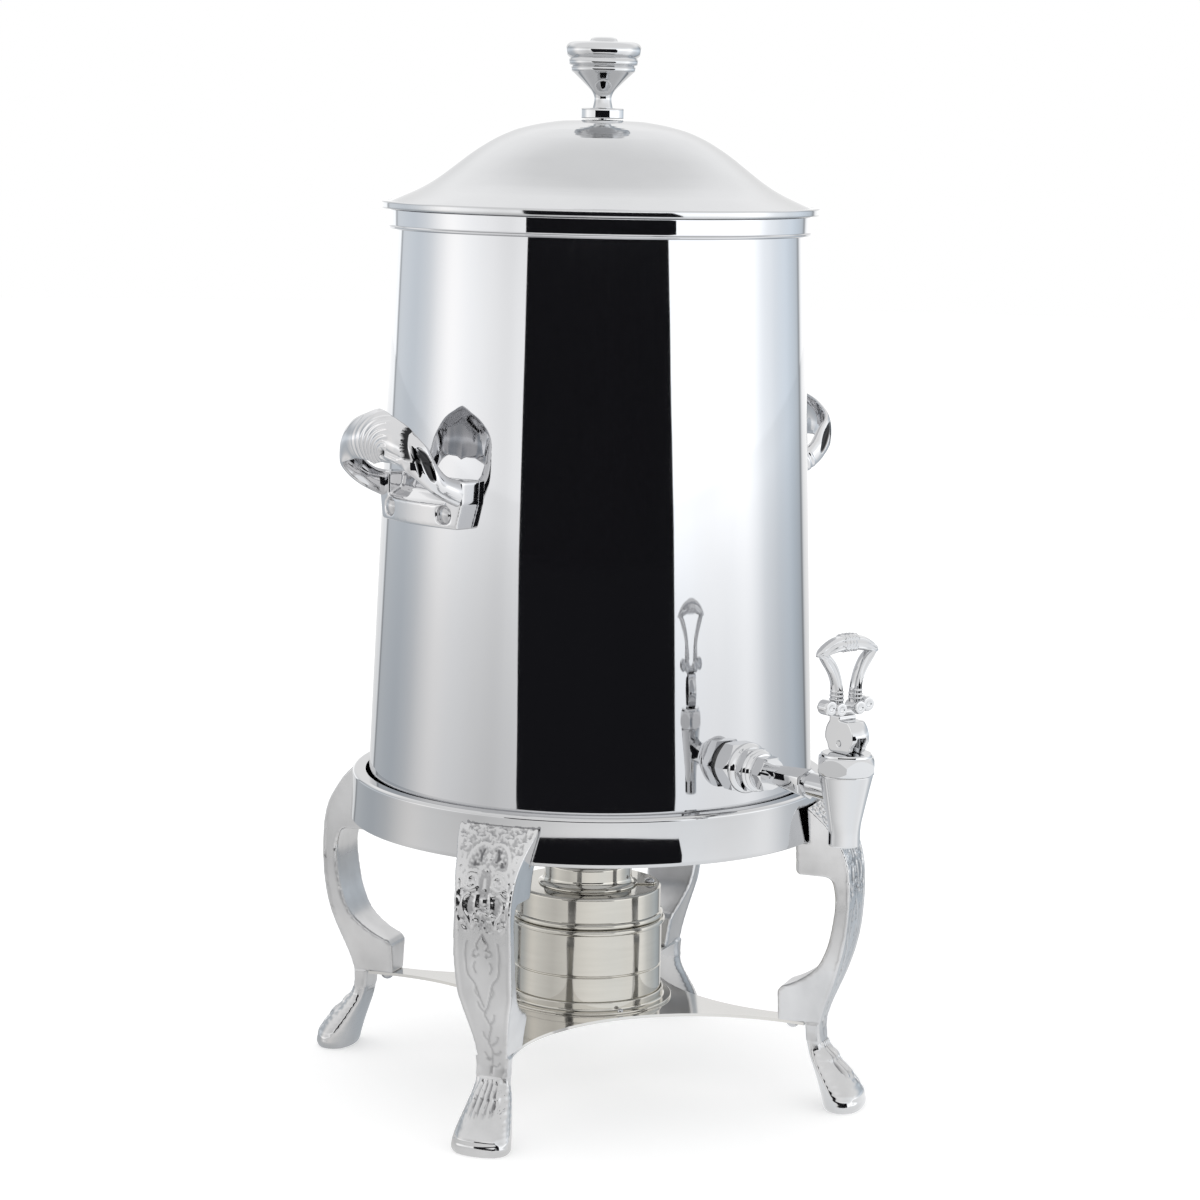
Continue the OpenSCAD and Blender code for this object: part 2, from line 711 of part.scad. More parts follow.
// A hexagonal nut with turned corners, r over the corners.
module hex_nut(r, l, bore) {
    difference() {
        intersection() {
            cylinder(r = r, h = l, $fn = 6);
            rotate_extrude() polygon([
                [0, 0], [r * 0.9, 0], [r, r * 0.06], [r, l - r * 0.06], [r * 0.9, l], [0, l]
            ]);
        }
        translate([0, 0, -1]) cylinder(r = bore, h = l + 2);
    }
}

module tap_gaskets() {
    color("dimgray") {
        difference() {
            along_tap() translate([0, 0, tap_wall - 4]) difference() {
                cylinder(r = gasket_r, h = gasket_t + 4);
                translate([0, 0, -1]) cylinder(r = shank_r + fit, h = gasket_t + 6);
            }
            wall_envelope(fit);
        }
        intersection() {
            along_tap() translate([0, 0, tap_wall - wall_t - gasket_t]) difference() {
                cylinder(r = gasket_r, h = gasket_t + 4);
                translate([0, 0, -1]) cylinder(r = shank_r + fit, h = gasket_t + 6);
            }
            wall_envelope(-wall_t - fit);
        }
    }
}

module tap_locknut() {
    color("silver") along_tap() translate([0, 0, tap_wall - wall_t - gasket_t - locknut_l])
        hex_nut(gasket_r, locknut_l, shank_r + fit);
}

module tap_shank() {
    color("silver") along_tap() difference() {
        translate([0, 0, shank_in]) cylinder(r = shank_r, h = coupling_end - 8 - shank_in);
        translate([0, 0, shank_in - 1]) cylinder(r = shank_bore_r, h = coupling_end - shank_in);
    }
}

module collar_nut() {
    color("silver") along_tap() translate([0, 0, nut_start])
        hex_nut(collar_nut_r, collar_nut_l, shank_r + fit);
}

module coupling_nut() {
    ring_l = 6;
    color("gainsboro") along_tap() translate([0, 0, coupling_start]) difference() {
        union() {
            rotate_extrude() polygon(concat(
                [[0, 0]], arc(collar_nut_r - 3.2, ring_l / 2, ring_l / 2, -90, 90, 6), [[0, ring_l]]
            ));
            translate([0, 0, ring_l - 0.5])
                hex_nut(collar_nut_r - 2, coupling_l - ring_l + 0.5, shank_r + fit);
        }
        translate([0, 0, -1]) cylinder(r = shank_r + fit, h = coupling_l + 2);
        translate([0, 0, coupling_l - 8]) cylinder(r = tail_r + fit, h = 5);
    }
}

// The tap's body: a tail that the coupling nut holds, a faceted arm and the spout.
tail_r = 10.5;
spout_h = 44;
spout_z = tap_z - 32;
spout_top_z = spout_z + spout_h;
seat_z = spout_z + 24;
chamber_r = 8.8;
tip_l = 12;

module tap_body() {
    arm_start = coupling_end - 8;
    color("silver") difference() {
        union() {
            along_tap() {
                translate([0, 0, arm_start]) cylinder(r = tail_r, h = 4.8);
                translate([0, 0, arm_start]) cylinder(r = shank_r - 0.4, h = 9);
                translate([0, 0, coupling_end]) hex_nut(11.3, 8, 1);
                translate([0, 0, coupling_end + 7]) cylinder(r = 5.4, h = spout_s - coupling_end - 12);
                translate([0, 0, coupling_end + 8]) arm_bar(spout_s - 31 - coupling_end - 8);
            }
            translate([0, -spout_s, spout_z]) rotate_extrude() polygon([
                [0, 0], [spout_tip_r - 0.5, 0], [spout_tip_r, 0.5], [spout_tip_r, tip_l],
                [spout_top_r, spout_h - 1], [spout_top_r, spout_h], [0, spout_h]
            ]);
        }
        along_tap() translate([0, 0, arm_start - 1]) cylinder(r = 3.8, h = spout_s - arm_start + 1);
        translate([0, -spout_s, spout_z - 1]) cylinder(r = outlet_r, h = seat_z - spout_z + 2);
        translate([0, -spout_s, seat_z]) cylinder(r = chamber_r, h = spout_h);
    }
}

// A six-sided bar that widens towards the spout, as four flat slopes and two sides.
module arm_bar(l) {
    rotate(90) intersection() {
        rotate([90, 0, 0]) linear_extrude(height = 40, center = true)
            polygon([[-5.6, 0], [5.6, 0], [8.8, l], [-8.8, l]]);
        rotate([90, 0, 90]) linear_extrude(height = 40, center = true)
            polygon([[-5.6, 0], [5.6, 0], [8.2, l], [-8.2, l]]);
        rotate(45) rotate([90, 0, 0]) linear_extrude(height = 40, center = true)
            polygon([[-6.6, 0], [6.6, 0], [9.8, l], [-9.8, l]]);
        rotate(-45) rotate([90, 0, 0]) linear_extrude(height = 40, center = true)
            polygon([[-6.6, 0], [6.6, 0], [9.8, l], [-9.8, l]]);
    }
}

bonnet_z = spout_top_z;
bonnet_top = bonnet_z + bonnet_h;
pin_z = bonnet_top + 6;
// How far the stem stands above the pin inside the hub.
stem_over = 3;

module tap_bonnet() {
    neck_r = chamber_r - fit;
    color("gainsboro") translate([0, -spout_s, bonnet_z]) difference() {
        union() {
            rotate(30) hex_nut(bonnet_r, bonnet_h - 2, stem_r + running);
            translate([0, 0, bonnet_h - 2 - eps]) cylinder(r = bonnet_r * 0.8, h = 2 + eps);
            translate([0, 0, -6]) cylinder(r = neck_r, h = 6 + eps);
        }
        translate([0, 0, -7]) cylinder(r = stem_r + running, h = bonnet_h + 8);
    }
}

stem_low = seat_z + 1.5;
module valve_stem() {
    color("silver") translate([0, -spout_s, 0]) difference() {
        union() {
            translate([0, 0, stem_low]) cylinder(r = stem_r, h = pin_z + stem_over - stem_low);
            translate([0, 0, stem_low + 3]) cylinder(r = 6.4, h = 1.6);
        }
        translate([0, 0, pin_z]) rotate([0, 90, 0]) cylinder(r = pin_r + fit, h = 20, center = true);
    }
}

module seat_cup() {
    cup_r = chamber_r - 0.6;
    color("white") translate([0, -spout_s, seat_z]) difference() {
        union() {
            cylinder(r1 = outlet_r + 0.9, r2 = cup_r, h = 2);
            translate([0, 0, 2 - eps]) cylinder(r = cup_r, h = 1 + eps);
            translate([0, 0, 3 - eps]) cylinder(r = stem_r + 2, h = 1.5);
        }
        translate([0, 0, stem_low - seat_z]) cylinder(r = stem_r + fit, h = 20);
    }
}

// The spring sits between the stem's collar and the bonnet's neck.
spring_wire = 0.6;
spring_r = 5.4;
module tap_spring() {
    low = stem_low + 4.6 + spring_wire + 0.1;
    high = bonnet_z - 6 - spring_wire - 0.1;
    turns = 3;
    steps = turns * 14;
    line = [for (i = [0:steps]) let (a = 360 * turns * i / steps)
        [spring_r * cos(a), spring_r * sin(a) - spout_s, low + (high - low) * i / steps]];
    w = [for (p = line) spring_wire];
    color("gray") sweep(line, w, w, [0, 0, 1], sides = 6);
}

// ---- Lever ------------------------------------------------------------------

// The hub is a round cam with two flat cheeks, slotted in front for the stem.
hub_z = bonnet_top + hub_h / 2;
neck_h = 2.5;
neck_depth = 9;
slot_half_w = stem_r + 0.6;
// The slot's roof and back clear the corners of the stem's top when the hub tips.
slot_clear = norm([stem_r, stem_over]) + play;
// The rounding of the hub's lower edges, on which it rolls over the bonnet.
cam_r = 4;

module lever_hub() {
    low = bonnet_top + 0.2;
    top = bonnet_top + hub_h;
    cam_y = 10 - cam_r;
    color("silver") translate([0, -spout_s, 0]) difference() {
        union() {
            intersection() {
                translate([0, 0, hub_z]) sphere(r = hub_r);
                rotate([90, 0, 90]) linear_extrude(height = 2 * hub_cheek, center = true)
                    polygon(concat(
                        arc(-cam_y, low + cam_r, cam_r, 180, 270, 6),
                        arc(cam_y, low + cam_r, cam_r, 270, 360, 6),
                        [[hub_r, hub_z], [hub_r, top], [-hub_r, top], [-hub_r, hub_z]]
                    ));
            }
            translate([-hub_cheek, 0, hub_z]) cube([2 * hub_cheek, neck_depth, hub_h / 2 + neck_h]);
        }
        translate([-slot_half_w, -hub_r - 1, bonnet_top - 1])
            cube([2 * slot_half_w, hub_r + 1 + slot_clear, pin_z + slot_clear - bonnet_top + 1]);
        translate([0, 0, pin_z]) rotate([0, 90, 0]) cylinder(r = pin_r + running, h = 40, center = true);
    }
}

module lever_pin() {
    color("gray") translate([0, -spout_s, pin_z]) rotate([0, 90, 0])
        cylinder(r = pin_r, h = 2 * hub_cheek - 0.4, center = true);
}

// The loop is a lyre: two arms rise from scrolled feet to a bowed top bar.
loop_z = bonnet_top + hub_h + neck_h;
loop_depth = 8;
scroll_r = 4.3;
// One arm's outer and inner edges from its foot up, and the bar's from the tip to the middle.
arm_outer = smooth([[11, 9], [10.3, 16], [11.5, 22], [15, loop_h - 20], [loop_half_w, loop_h - 11.5]]);
arm_inner = smooth([
    [3.6, 8], [4.6, 17], [6, 23], [9.5, loop_h - 19], [loop_half_w - 7.5, loop_h - 12.5]
]);
bar_outer = smooth([[loop_half_w, loop_h - 11.5], [18, loop_h - 5.5], [10, loop_h - 1.5], [0, loop_h]]);
bar_inner = smooth([[loop_half_w - 7.5, loop_h - 12.5], [9, loop_h - 10.7], [0, loop_h - 10]]);
function flip(p) = [for (i = [len(p) - 1:-1:0]) [-p[i][0], p[i][1]]];

module loop_outline() {
    outer_half = concat(arm_outer, without_first(bar_outer));
    inner_half = concat(arm_inner, without_first(bar_inner));
    polygon(concat(
        outer_half, without_first(flip(outer_half)),
        backwards(without_first(flip(inner_half))), backwards(inner_half)
    ));
}

module tap_lever() {
    color("silver") translate([0, loop_depth / 2 - 2 - spout_s, loop_z]) union() {
        rotate([90, 0, 0]) {
            linear_extrude(height = loop_depth, center = true) loop_outline();
            for (s = [-1, 1]) {
                translate([s * 7.4, scroll_r + 0.2, 0])
                    cylinder(r = scroll_r, h = loop_depth + 3, center = true);
                translate([s * 14.6, scroll_r + 1.4, 0])
                    cylinder(r = scroll_r, h = loop_depth + 1, center = true);
            }
            translate([0, 2.6, 0]) cube([14, 5.2, loop_depth - 1], center = true);
            for (s = [-1, 1], k = [0:2])
                translate([s * 7.6, 10.2 + 2.4 * k, 0])
                    cube([8.6 - 0.8 * k, 1.6, loop_depth + 1.4 - 0.4 * k], center = true);
            translate([0, loop_h - 5, 0]) cube([8, 9, loop_depth + 1.2], center = true);
        }
    }
}

// ---- Lid --------------------------------------------------------------------

lid_z = mouth_z;
lid_r = collar_r + lid_over;
skirt_r = lid_r - skirt_w;
lid_edge_r = lid_r - rim_bead_h / 2;
rim_z = lid_z + 3.5;
// Height of the bead's lowest point above the mouth's edge.
bead_gap = 0.2;
locator_t = 1.2;
// Gap all round between the locating ring and the inside of the mouth.
locator_gap = 0.8;

// Outline of the lid's upper face from the axis to the rim: a crown, a tighter
// shoulder, a straight flank and a skirt that flares out to the rolled rim.
crown_x = crown_r * sin(crown_slope);
shoulder_x = crown_x + shoulder_r * (sin(flank_slope) - sin(crown_slope));
flare_x0 = skirt_r - flare_r * (sin(flank_slope) - sin(skirt_slope)) / 2;
flare_x1 = skirt_r + flare_r * (sin(flank_slope) - sin(skirt_slope)) / 2;
// Each height is worked out upwards from the rim.
z_flare1 = rim_z + (lid_edge_r - flare_x1) * tan(skirt_slope);
z_flare0 = z_flare1 + flare_r * (cos(skirt_slope) - cos(flank_slope));
z_shoulder = z_flare0 + (flare_x0 - shoulder_x) * tan(flank_slope);
z_crown = z_shoulder + shoulder_r * (cos(crown_slope) - cos(flank_slope));
lid_top = z_crown + crown_r * (1 - cos(crown_slope));

function lid_line(g) = concat(
    [for (i = [0:8]) let (a = crown_slope * i / 8)
        [(crown_r - g) * sin(a), lid_top - crown_r + (crown_r - g) * cos(a)]],
    [for (i = [1:5]) let (a = crown_slope + (flank_slope - crown_slope) * i / 5) [
        crown_x - shoulder_r * sin(crown_slope) + (shoulder_r - g) * sin(a),
        z_crown - shoulder_r * cos(crown_slope) + (shoulder_r - g) * cos(a)
    ]],
    [for (i = [0:5]) let (a = flank_slope + (skirt_slope - flank_slope) * i / 5) [
        flare_x0 + flare_r * sin(flank_slope) - (flare_r + g) * sin(a),
        z_flare0 + flare_r * cos(flank_slope) - (flare_r + g) * cos(a)
    ]],
    [[lid_edge_r, rim_z - g]]
);

// Where round the rim's bead, as an angle, the sheet's face that would reach
// the bead's axis at height z meets it.
bead_z = lid_z + bead_gap + rim_bead_h / 2;
function bead_a(z) = 180 - skirt_slope - asin((z - bead_z) * cos(skirt_slope) * 2 / rim_bead_h);

// The rim is rolled into a bead, which is drawn as one outline with the sheet.
module lid_shell() {
    hole_r = knob_screw_r + fit;
    outer = without_first(lid_line(0));
    inner = without_first(lid_line(lid_t));
    color("lightgray") rotate_extrude($fn = 180) polygon(concat(
        [[hole_r, lid_top]], without_last(outer),
        arc(lid_edge_r, bead_z, rim_bead_h / 2, bead_a(rim_z), bead_a(rim_z - lid_t) - 360, 20),
        backwards(without_last(inner)), [[hole_r, lid_top - lid_t]]
    ));
}

// Height of the lid's underside at radius r of the skirt.
function under_skirt(r) = rim_z - lid_t + (lid_edge_r - r) * tan(skirt_slope) - fit;

// A ring soldered to the underside of the lid. Its wall drops into the mouth and
// its flange rests on the mouth's edge.
module lid_locator() {
    out_r = vessel_top_r - wall_t - locator_gap;
    in_r = out_r - locator_t;
    flange_r = collar_r - 1;
    color("silver") rotate_extrude($fn = 180) polygon([
        [in_r, lid_z - locator_h], [out_r, lid_z - locator_h], [out_r, lid_z],
        [flange_r, lid_z], [flange_r, lid_z + locator_t], [out_r, lid_z + locator_t],
        [out_r, under_skirt(out_r)], [in_r, under_skirt(in_r)]
    ]);
}

// ---- Knob -------------------------------------------------------------------

knob_screw_r = 2.5;
knob_z = lid_top + knob_washer_h;

module knob_washer() {
    color("silver") translate([0, 0, lid_top]) rotate_extrude() polygon([
        [knob_screw_r + fit, 0], [knob_washer_r - 0.4, 0], [knob_washer_r, 0.4],
        [knob_washer_r, knob_washer_h - 0.5], [knob_washer_r - 0.5, knob_washer_h],
        [knob_screw_r + fit, knob_washer_h]
    ]);
}

module knob() {
    k = knob_h / 45;
    r = knob_r;
    color("whitesmoke") translate([0, 0, knob_z]) rotate_extrude() difference() {
        union() {
            polygon(concat(
                [[0, 0], [knob_neck_r + 1, 0]],
                smooth([
                    [knob_neck_r + 0.8, 0.4 * k], [knob_neck_r, 4 * k], [knob_neck_r, 7 * k],
                    [knob_neck_r + 1.2, 10.5 * k], [r - 12, 15.5 * k], [r - 5, 22.6 * k]
                ], 4),
                arc(r - 5.2, 24.8 * k, 2.2 * k, -60, 60, 4),
                arc(r - 3.5, 29.5 * k, 2.4 * k, -60, 60, 4),
                arc(r - 4.6, 37 * k, 4.6 * k, -60, 100, 8),
                smooth([[r - 9, 41.6 * k], [12, 42.6 * k], [8.4, 43 * k]], 3),
                [[7.6, 44.6 * k], [5, 45 * k], [0, 45 * k]]
            ));
        }
        translate([-1, -1]) square([knob_screw_r + fit + 1, 17]);
    }
}

module knob_screw() {
    head_h = 3;
    under = lid_top - lid_t - fit;
    color("gray") {
        translate([0, 0, under - head_h]) cylinder(r = 5, h = head_h);
        translate([0, 0, under - 0.5]) cylinder(r = knob_screw_r, h = knob_z + 14 - under + 0.5);
    }
}

stand_ring();
leg_1();
leg_2();
leg_3();
leg_4();
leg_screws();
shelf_plate();
shelf_screws();
burner_seat();
seat_screws();
burner_cup();
burner_cover();
snuffer_rivet();
snuffer_cap();
vessel_shell();
rim_collar();
handle_base_left();
handle_base_right();
handle_grip_left();
handle_grip_right();
handle_screws();
tap_gaskets();
tap_locknut();
tap_shank();
collar_nut();
coupling_nut();
tap_body();
tap_bonnet();
tap_spring();
valve_stem();
seat_cup();
lever_hub();
tap_lever();
lever_pin();
lid_shell();
lid_locator();
knob_washer();
knob();
knob_screw();
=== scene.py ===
import math

import bmesh
import bpy
from mathutils import Matrix, Vector, kdtree, noise


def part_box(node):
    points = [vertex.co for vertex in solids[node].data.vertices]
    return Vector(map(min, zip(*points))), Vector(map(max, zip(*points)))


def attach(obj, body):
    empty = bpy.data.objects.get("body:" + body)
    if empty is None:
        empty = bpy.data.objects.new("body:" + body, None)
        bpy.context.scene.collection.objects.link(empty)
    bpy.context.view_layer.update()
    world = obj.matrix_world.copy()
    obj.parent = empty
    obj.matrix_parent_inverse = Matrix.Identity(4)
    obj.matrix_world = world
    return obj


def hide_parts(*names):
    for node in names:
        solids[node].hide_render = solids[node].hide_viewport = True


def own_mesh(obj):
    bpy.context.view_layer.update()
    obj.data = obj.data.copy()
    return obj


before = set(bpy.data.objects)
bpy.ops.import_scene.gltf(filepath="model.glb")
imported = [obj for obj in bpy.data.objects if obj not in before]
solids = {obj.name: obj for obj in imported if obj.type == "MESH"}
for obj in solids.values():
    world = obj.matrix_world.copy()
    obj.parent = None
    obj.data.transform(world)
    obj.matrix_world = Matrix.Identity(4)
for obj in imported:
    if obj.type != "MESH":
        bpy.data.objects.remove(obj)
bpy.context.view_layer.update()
world = bpy.context.scene.world or bpy.data.worlds.new("studio")
bpy.context.scene.world = world
bpy.context.scene.view_settings.view_transform = "Standard"

# ---- Camera ------------------------------------------------------------------
# A long lens a little above the tap, about two metres away, on the side between
# the left handle and the tap.
camera = bpy.data.objects.new("camera", bpy.data.cameras.new("camera"))
bpy.context.scene.collection.objects.link(camera)
bpy.context.scene.camera = camera
camera.data.lens = 96.86
camera.data.sensor_width = 36
lens_away, lens_high = 2.0977, 0.63395
turn = math.radians(37.5)
yaw, pitch, roll = math.radians(0.121), math.radians(8.469), math.radians(1.119)
to_right = Vector((math.cos(turn), -math.sin(turn), 0))
to_lens = Vector((-math.sin(turn), -math.cos(turn), 0))
to_sky = Vector((0, 0, 1))
level = to_right * math.cos(yaw) + to_lens * math.sin(yaw)
ahead = to_right * math.sin(yaw) - to_lens * math.cos(yaw)
sight = ahead * math.cos(pitch) - to_sky * math.sin(pitch)
upright = ahead * math.sin(pitch) + to_sky * math.cos(pitch)
side = level * math.cos(roll) + upright * math.sin(roll)
head = upright * math.cos(roll) - level * math.sin(roll)
camera.matrix_world = Matrix.Translation(to_lens * lens_away + to_sky * lens_high) @ Matrix(
    (side, head, -sight)
).transposed().to_4x4()

# ---- Studio ------------------------------------------------------------------
# The urn stands on white paper in a round white tent, whose light changes with the
# bearing, so that mirror-bright metal shows broad soft bands. A black cloth lies
# under the camera and stands up behind it, and is seen only in the metal.


def worked(tree, operation, first, second):
    """Adds a maths node on two sockets or numbers, and gives what it works out."""
    node = tree.nodes.new("ShaderNodeMath")
    node.operation = operation
    for socket, given in zip(node.inputs, (first, second)):
        if isinstance(given, bpy.types.NodeSocket):
            tree.links.new(given, socket)
        else:
            socket.default_value = given
    return node.outputs[0]


def ranged(tree, value, before, after=(0, 1), smooth=False):
    """Adds a node that carries a value from one range to another, and gives the new value."""
    node = tree.nodes.new("ShaderNodeMapRange")
    node.interpolation_type = "SMOOTHSTEP" if smooth else "LINEAR"
    for label, number in zip(("From Min", "From Max", "To Min", "To Max"), (*before, *after)):
        node.inputs[label].default_value = number
    tree.links.new(value, node.inputs["Value"])
    return node.outputs[0]


# Bearing in degrees to the camera's right, light, and how blue it is.
tent_bands = (
    (-180, 0.95, 0), (-152, 0.92, 0.01), (-148, 0.90, 0.02), (-145.5, 0.34, 0.04), (-143, 0.60, 0.05),
    (-118, 0.62, 0.06), (-104, 0.76, 0.02), (-90, 1.02, -0.01), (-76, 0.98, 0), (-60, 0.88, 0),
    (-45, 0.86, 0), (0, 1.18, 0), (42, 1.22, 0.02), (62, 1.20, 0.01), (76, 1.24, 0.01), (89, 1.28, 0.01),
    (100, 1.00, 0.03), (112, 0.82, 0.05), (128, 0.70, 0.09), (142, 0.50, 0.08), (145.5, 0.32, 0.04),
    (148, 0.72, 0.02), (152, 0.92, 0), (179, 0.95, 0)
)
# A colour ramp holds no more than 1, so its colours are shares of this light.
brightest = 1.5


def tent_light(tree, source, brightness):
    """Adds the tent's light to a node tree: a colour by bearing, times a brightness."""
    spin = tree.nodes.new("ShaderNodeVectorRotate")
    spin.rotation_type = "Z_AXIS"
    spin.inputs["Angle"].default_value = turn
    tree.links.new(source, spin.inputs["Vector"])
    apart = tree.nodes.new("ShaderNodeSeparateXYZ")
    tree.links.new(spin.outputs["Vector"], apart.inputs[0])
    toward = worked(tree, "MULTIPLY", apart.outputs["Y"], -1)
    bearing = worked(tree, "ARCTAN2", apart.outputs["X"], toward)
    bands = tree.nodes.new("ShaderNodeValToRGB")
    bands.color_ramp.interpolation = "CARDINAL"
    stops = bands.color_ramp.elements
    for at, light, blue in tent_bands:
        place = (at + 180) / 360
        stop = stops[0] if at == -180 else stops.new(place)
        stop.position = place
        stop.color = (light / brightest * (1 - blue), light / brightest, light / brightest * (1 + blue), 1)
    stops.remove(stops[-1])
    tree.links.new(ranged(tree, bearing, (-math.pi, math.pi)), bands.inputs[0])
    scaled = tree.nodes.new("ShaderNodeVectorMath")
    scaled.operation = "SCALE"
    tree.links.new(bands.outputs["Color"], scaled.inputs[0])
    tree.links.new(worked(tree, "MULTIPLY", brightness, brightest), scaled.inputs["Scale"])
    return scaled.outputs[0]


def told_apart(tree, plain, mirrored, end):
    """Shows one shader directly and another in metal, and gives the node that tells which."""
    path = tree.nodes.new("ShaderNodeLightPath")
    seen = worked(tree, "MAXIMUM", path.outputs["Is Glossy Ray"], path.outputs["Is Transmission Ray"])
    either = tree.nodes.new("ShaderNodeMixShader")
    for given, socket in zip((seen, plain, mirrored), either.inputs):
        tree.links.new(given, socket)
    tree.links.new(either.outputs[0], end.inputs["Surface"])
    return path


def shown(name, shape):
    """Puts a shape into the scene under a name."""
    piece = bpy.data.objects.new(name, bpy.data.meshes.new(name))
    shape.to_mesh(piece.data)
    shape.free()
    bpy.context.scene.collection.objects.link(piece)
    return piece


def moved(shape, matrix):
    """Moves or turns a whole shape, and gives it back."""
    bmesh.ops.transform(shape, matrix=matrix, verts=shape.verts[:])
    return shape


def shineless(name, tint, dull):
    """A material without a shine, and its surface node."""
    material = bpy.data.materials.new(name)
    material.use_nodes = True
    surface = material.node_tree.nodes["Principled BSDF"]
    surface.inputs["Base Color"].default_value = (*tint, 1)
    surface.inputs["Roughness"].default_value = dull
    surface.inputs["Specular IOR Level"].default_value = 0.0
    return material, surface


# The paper is lit a little by itself to the eye. Metal sees it brighten outwards.
floor_reach, urn_edge, tent_foot = 9, 0.8, 7
paper_lift = 0.36
ground = bmesh.new()
bmesh.ops.create_circle(ground, cap_ends=True, radius=floor_reach, segments=96)
floor = shown("floor", ground)
paper, paper_face = shineless("paper", (0.82, 0.82, 0.82), 0.9)
paper_tree = paper.node_tree
paper_face.inputs["Emission Color"].default_value = (1, 1, 1, 1)
paper_place = paper_tree.nodes.new("ShaderNodeTexCoord")
reach = paper_tree.nodes.new("ShaderNodeVectorMath")
reach.operation = "LENGTH"
paper_tree.links.new(paper_place.outputs["Object"], reach.inputs[0])
falloff = ranged(paper_tree, reach.outputs["Value"], (urn_edge, tent_foot), (0.86, 1.3))
paper_glow = paper_tree.nodes.new("ShaderNodeEmission")
paper_light = tent_light(paper_tree, paper_place.outputs["Object"], falloff)
paper_tree.links.new(paper_light, paper_glow.inputs["Color"])
paper_path = told_apart(
    paper_tree, paper_face.outputs[0], paper_glow.outputs[0], paper_tree.nodes["Material Output"]
)
lift = worked(paper_tree, "MULTIPLY", paper_path.outputs["Is Camera Ray"], paper_lift)
paper_tree.links.new(lift, paper_face.inputs["Emission Strength"])
floor.data.materials.append(paper)

# The cloth is one sheet that lies on the floor and stands up behind the camera. Its
# sides run a little askew: distance, height, and degrees to left and right.
hem_line = (
    (1.36, 0.002, 33, 40.5), (1.46, 0.002, 34, 41.2), (1.7, 0.002, 35.8, 42.4),
    (3, 0.002, 37.6, 42.4), (6, 0.002, 39.4, 42), (6, 0.95, 39.8, 36.5)
)
fan = 2
cloth = bmesh.new()
hem = [cloth.verts.new((0, -out, high)) for out, high, _, _ in hem_line]
threads = [cloth.edges.new(pair) for pair in zip(hem, hem[1:])]
bmesh.ops.spin(
    cloth, geom=hem + threads, axis=(0, 0, 1), cent=(0, 0, 0), angle=fan, steps=32
)
for point in cloth.verts:
    out = math.hypot(point.co.x, point.co.y)
    share = math.atan2(point.co.x, -point.co.y) / fan
    _, _, left, right = min(hem_line, key=lambda line: abs(line[0] - out) + abs(line[1] - point.co.z))
    lean = math.radians(share * (left + right) - left)
    point.co.x, point.co.y = math.sin(lean) * out, -math.cos(lean) * out
flag = shown("black_cloth", moved(cloth, Matrix.Rotation(-turn, 4, "Z")))
flag.visible_camera = flag.visible_diffuse = flag.visible_shadow = False
flag.data.materials.append(shineless("black_cloth", (0.01, 0.01, 0.012), 0.95)[0])

# The tent's walls are brightest just above the floor. Its top is plain, and a little
# brighter on the urn's far side. To the eye and to dull things all of it is white.
world.use_nodes = True
tree = world.node_tree
tree.nodes.clear()
outlook = tree.nodes.new("ShaderNodeTexCoord")
height = tree.nodes.new("ShaderNodeSeparateXYZ")
tree.links.new(outlook.outputs["Generated"], height.inputs[0])
fade = ranged(tree, height.outputs["Z"], (0, 0.16), (1.42, 0.98), smooth=True)
walls = tent_light(tree, outlook.outputs["Generated"], fade)
far_side = tree.nodes.new("ShaderNodeVectorMath")
far_side.operation = "DOT_PRODUCT"
far_side.inputs[1].default_value = -to_lens
tree.links.new(outlook.outputs["Generated"], far_side.inputs[0])
roof = ranged(tree, far_side.outputs["Value"], (0.3, 0.75), (0.98, 1.17), smooth=True)
tent = tree.nodes.new("ShaderNodeMix")
tent.data_type = "RGBA"
tree.links.new(ranged(tree, height.outputs["Z"], (0.2, 0.5), smooth=True), tent.inputs[0])
tree.links.new(walls, tent.inputs[6])
tree.links.new(roof, tent.inputs[7])
plain = tree.nodes.new("ShaderNodeBackground")
plain.inputs["Color"].default_value = (1, 1, 1, 1)
mirrored = tree.nodes.new("ShaderNodeBackground")
tree.links.new(tent.outputs[2], mirrored.inputs["Color"])
told_apart(tree, plain.outputs[0], mirrored.outputs[0], tree.nodes.new("ShaderNodeOutputWorld"))

# ---- Vessel --------------------------------------------------------------------
# The tall tapered vessel is rolled from thin stainless sheet, its bottom is
# pressed and let in, and its outside is polished to a mirror.


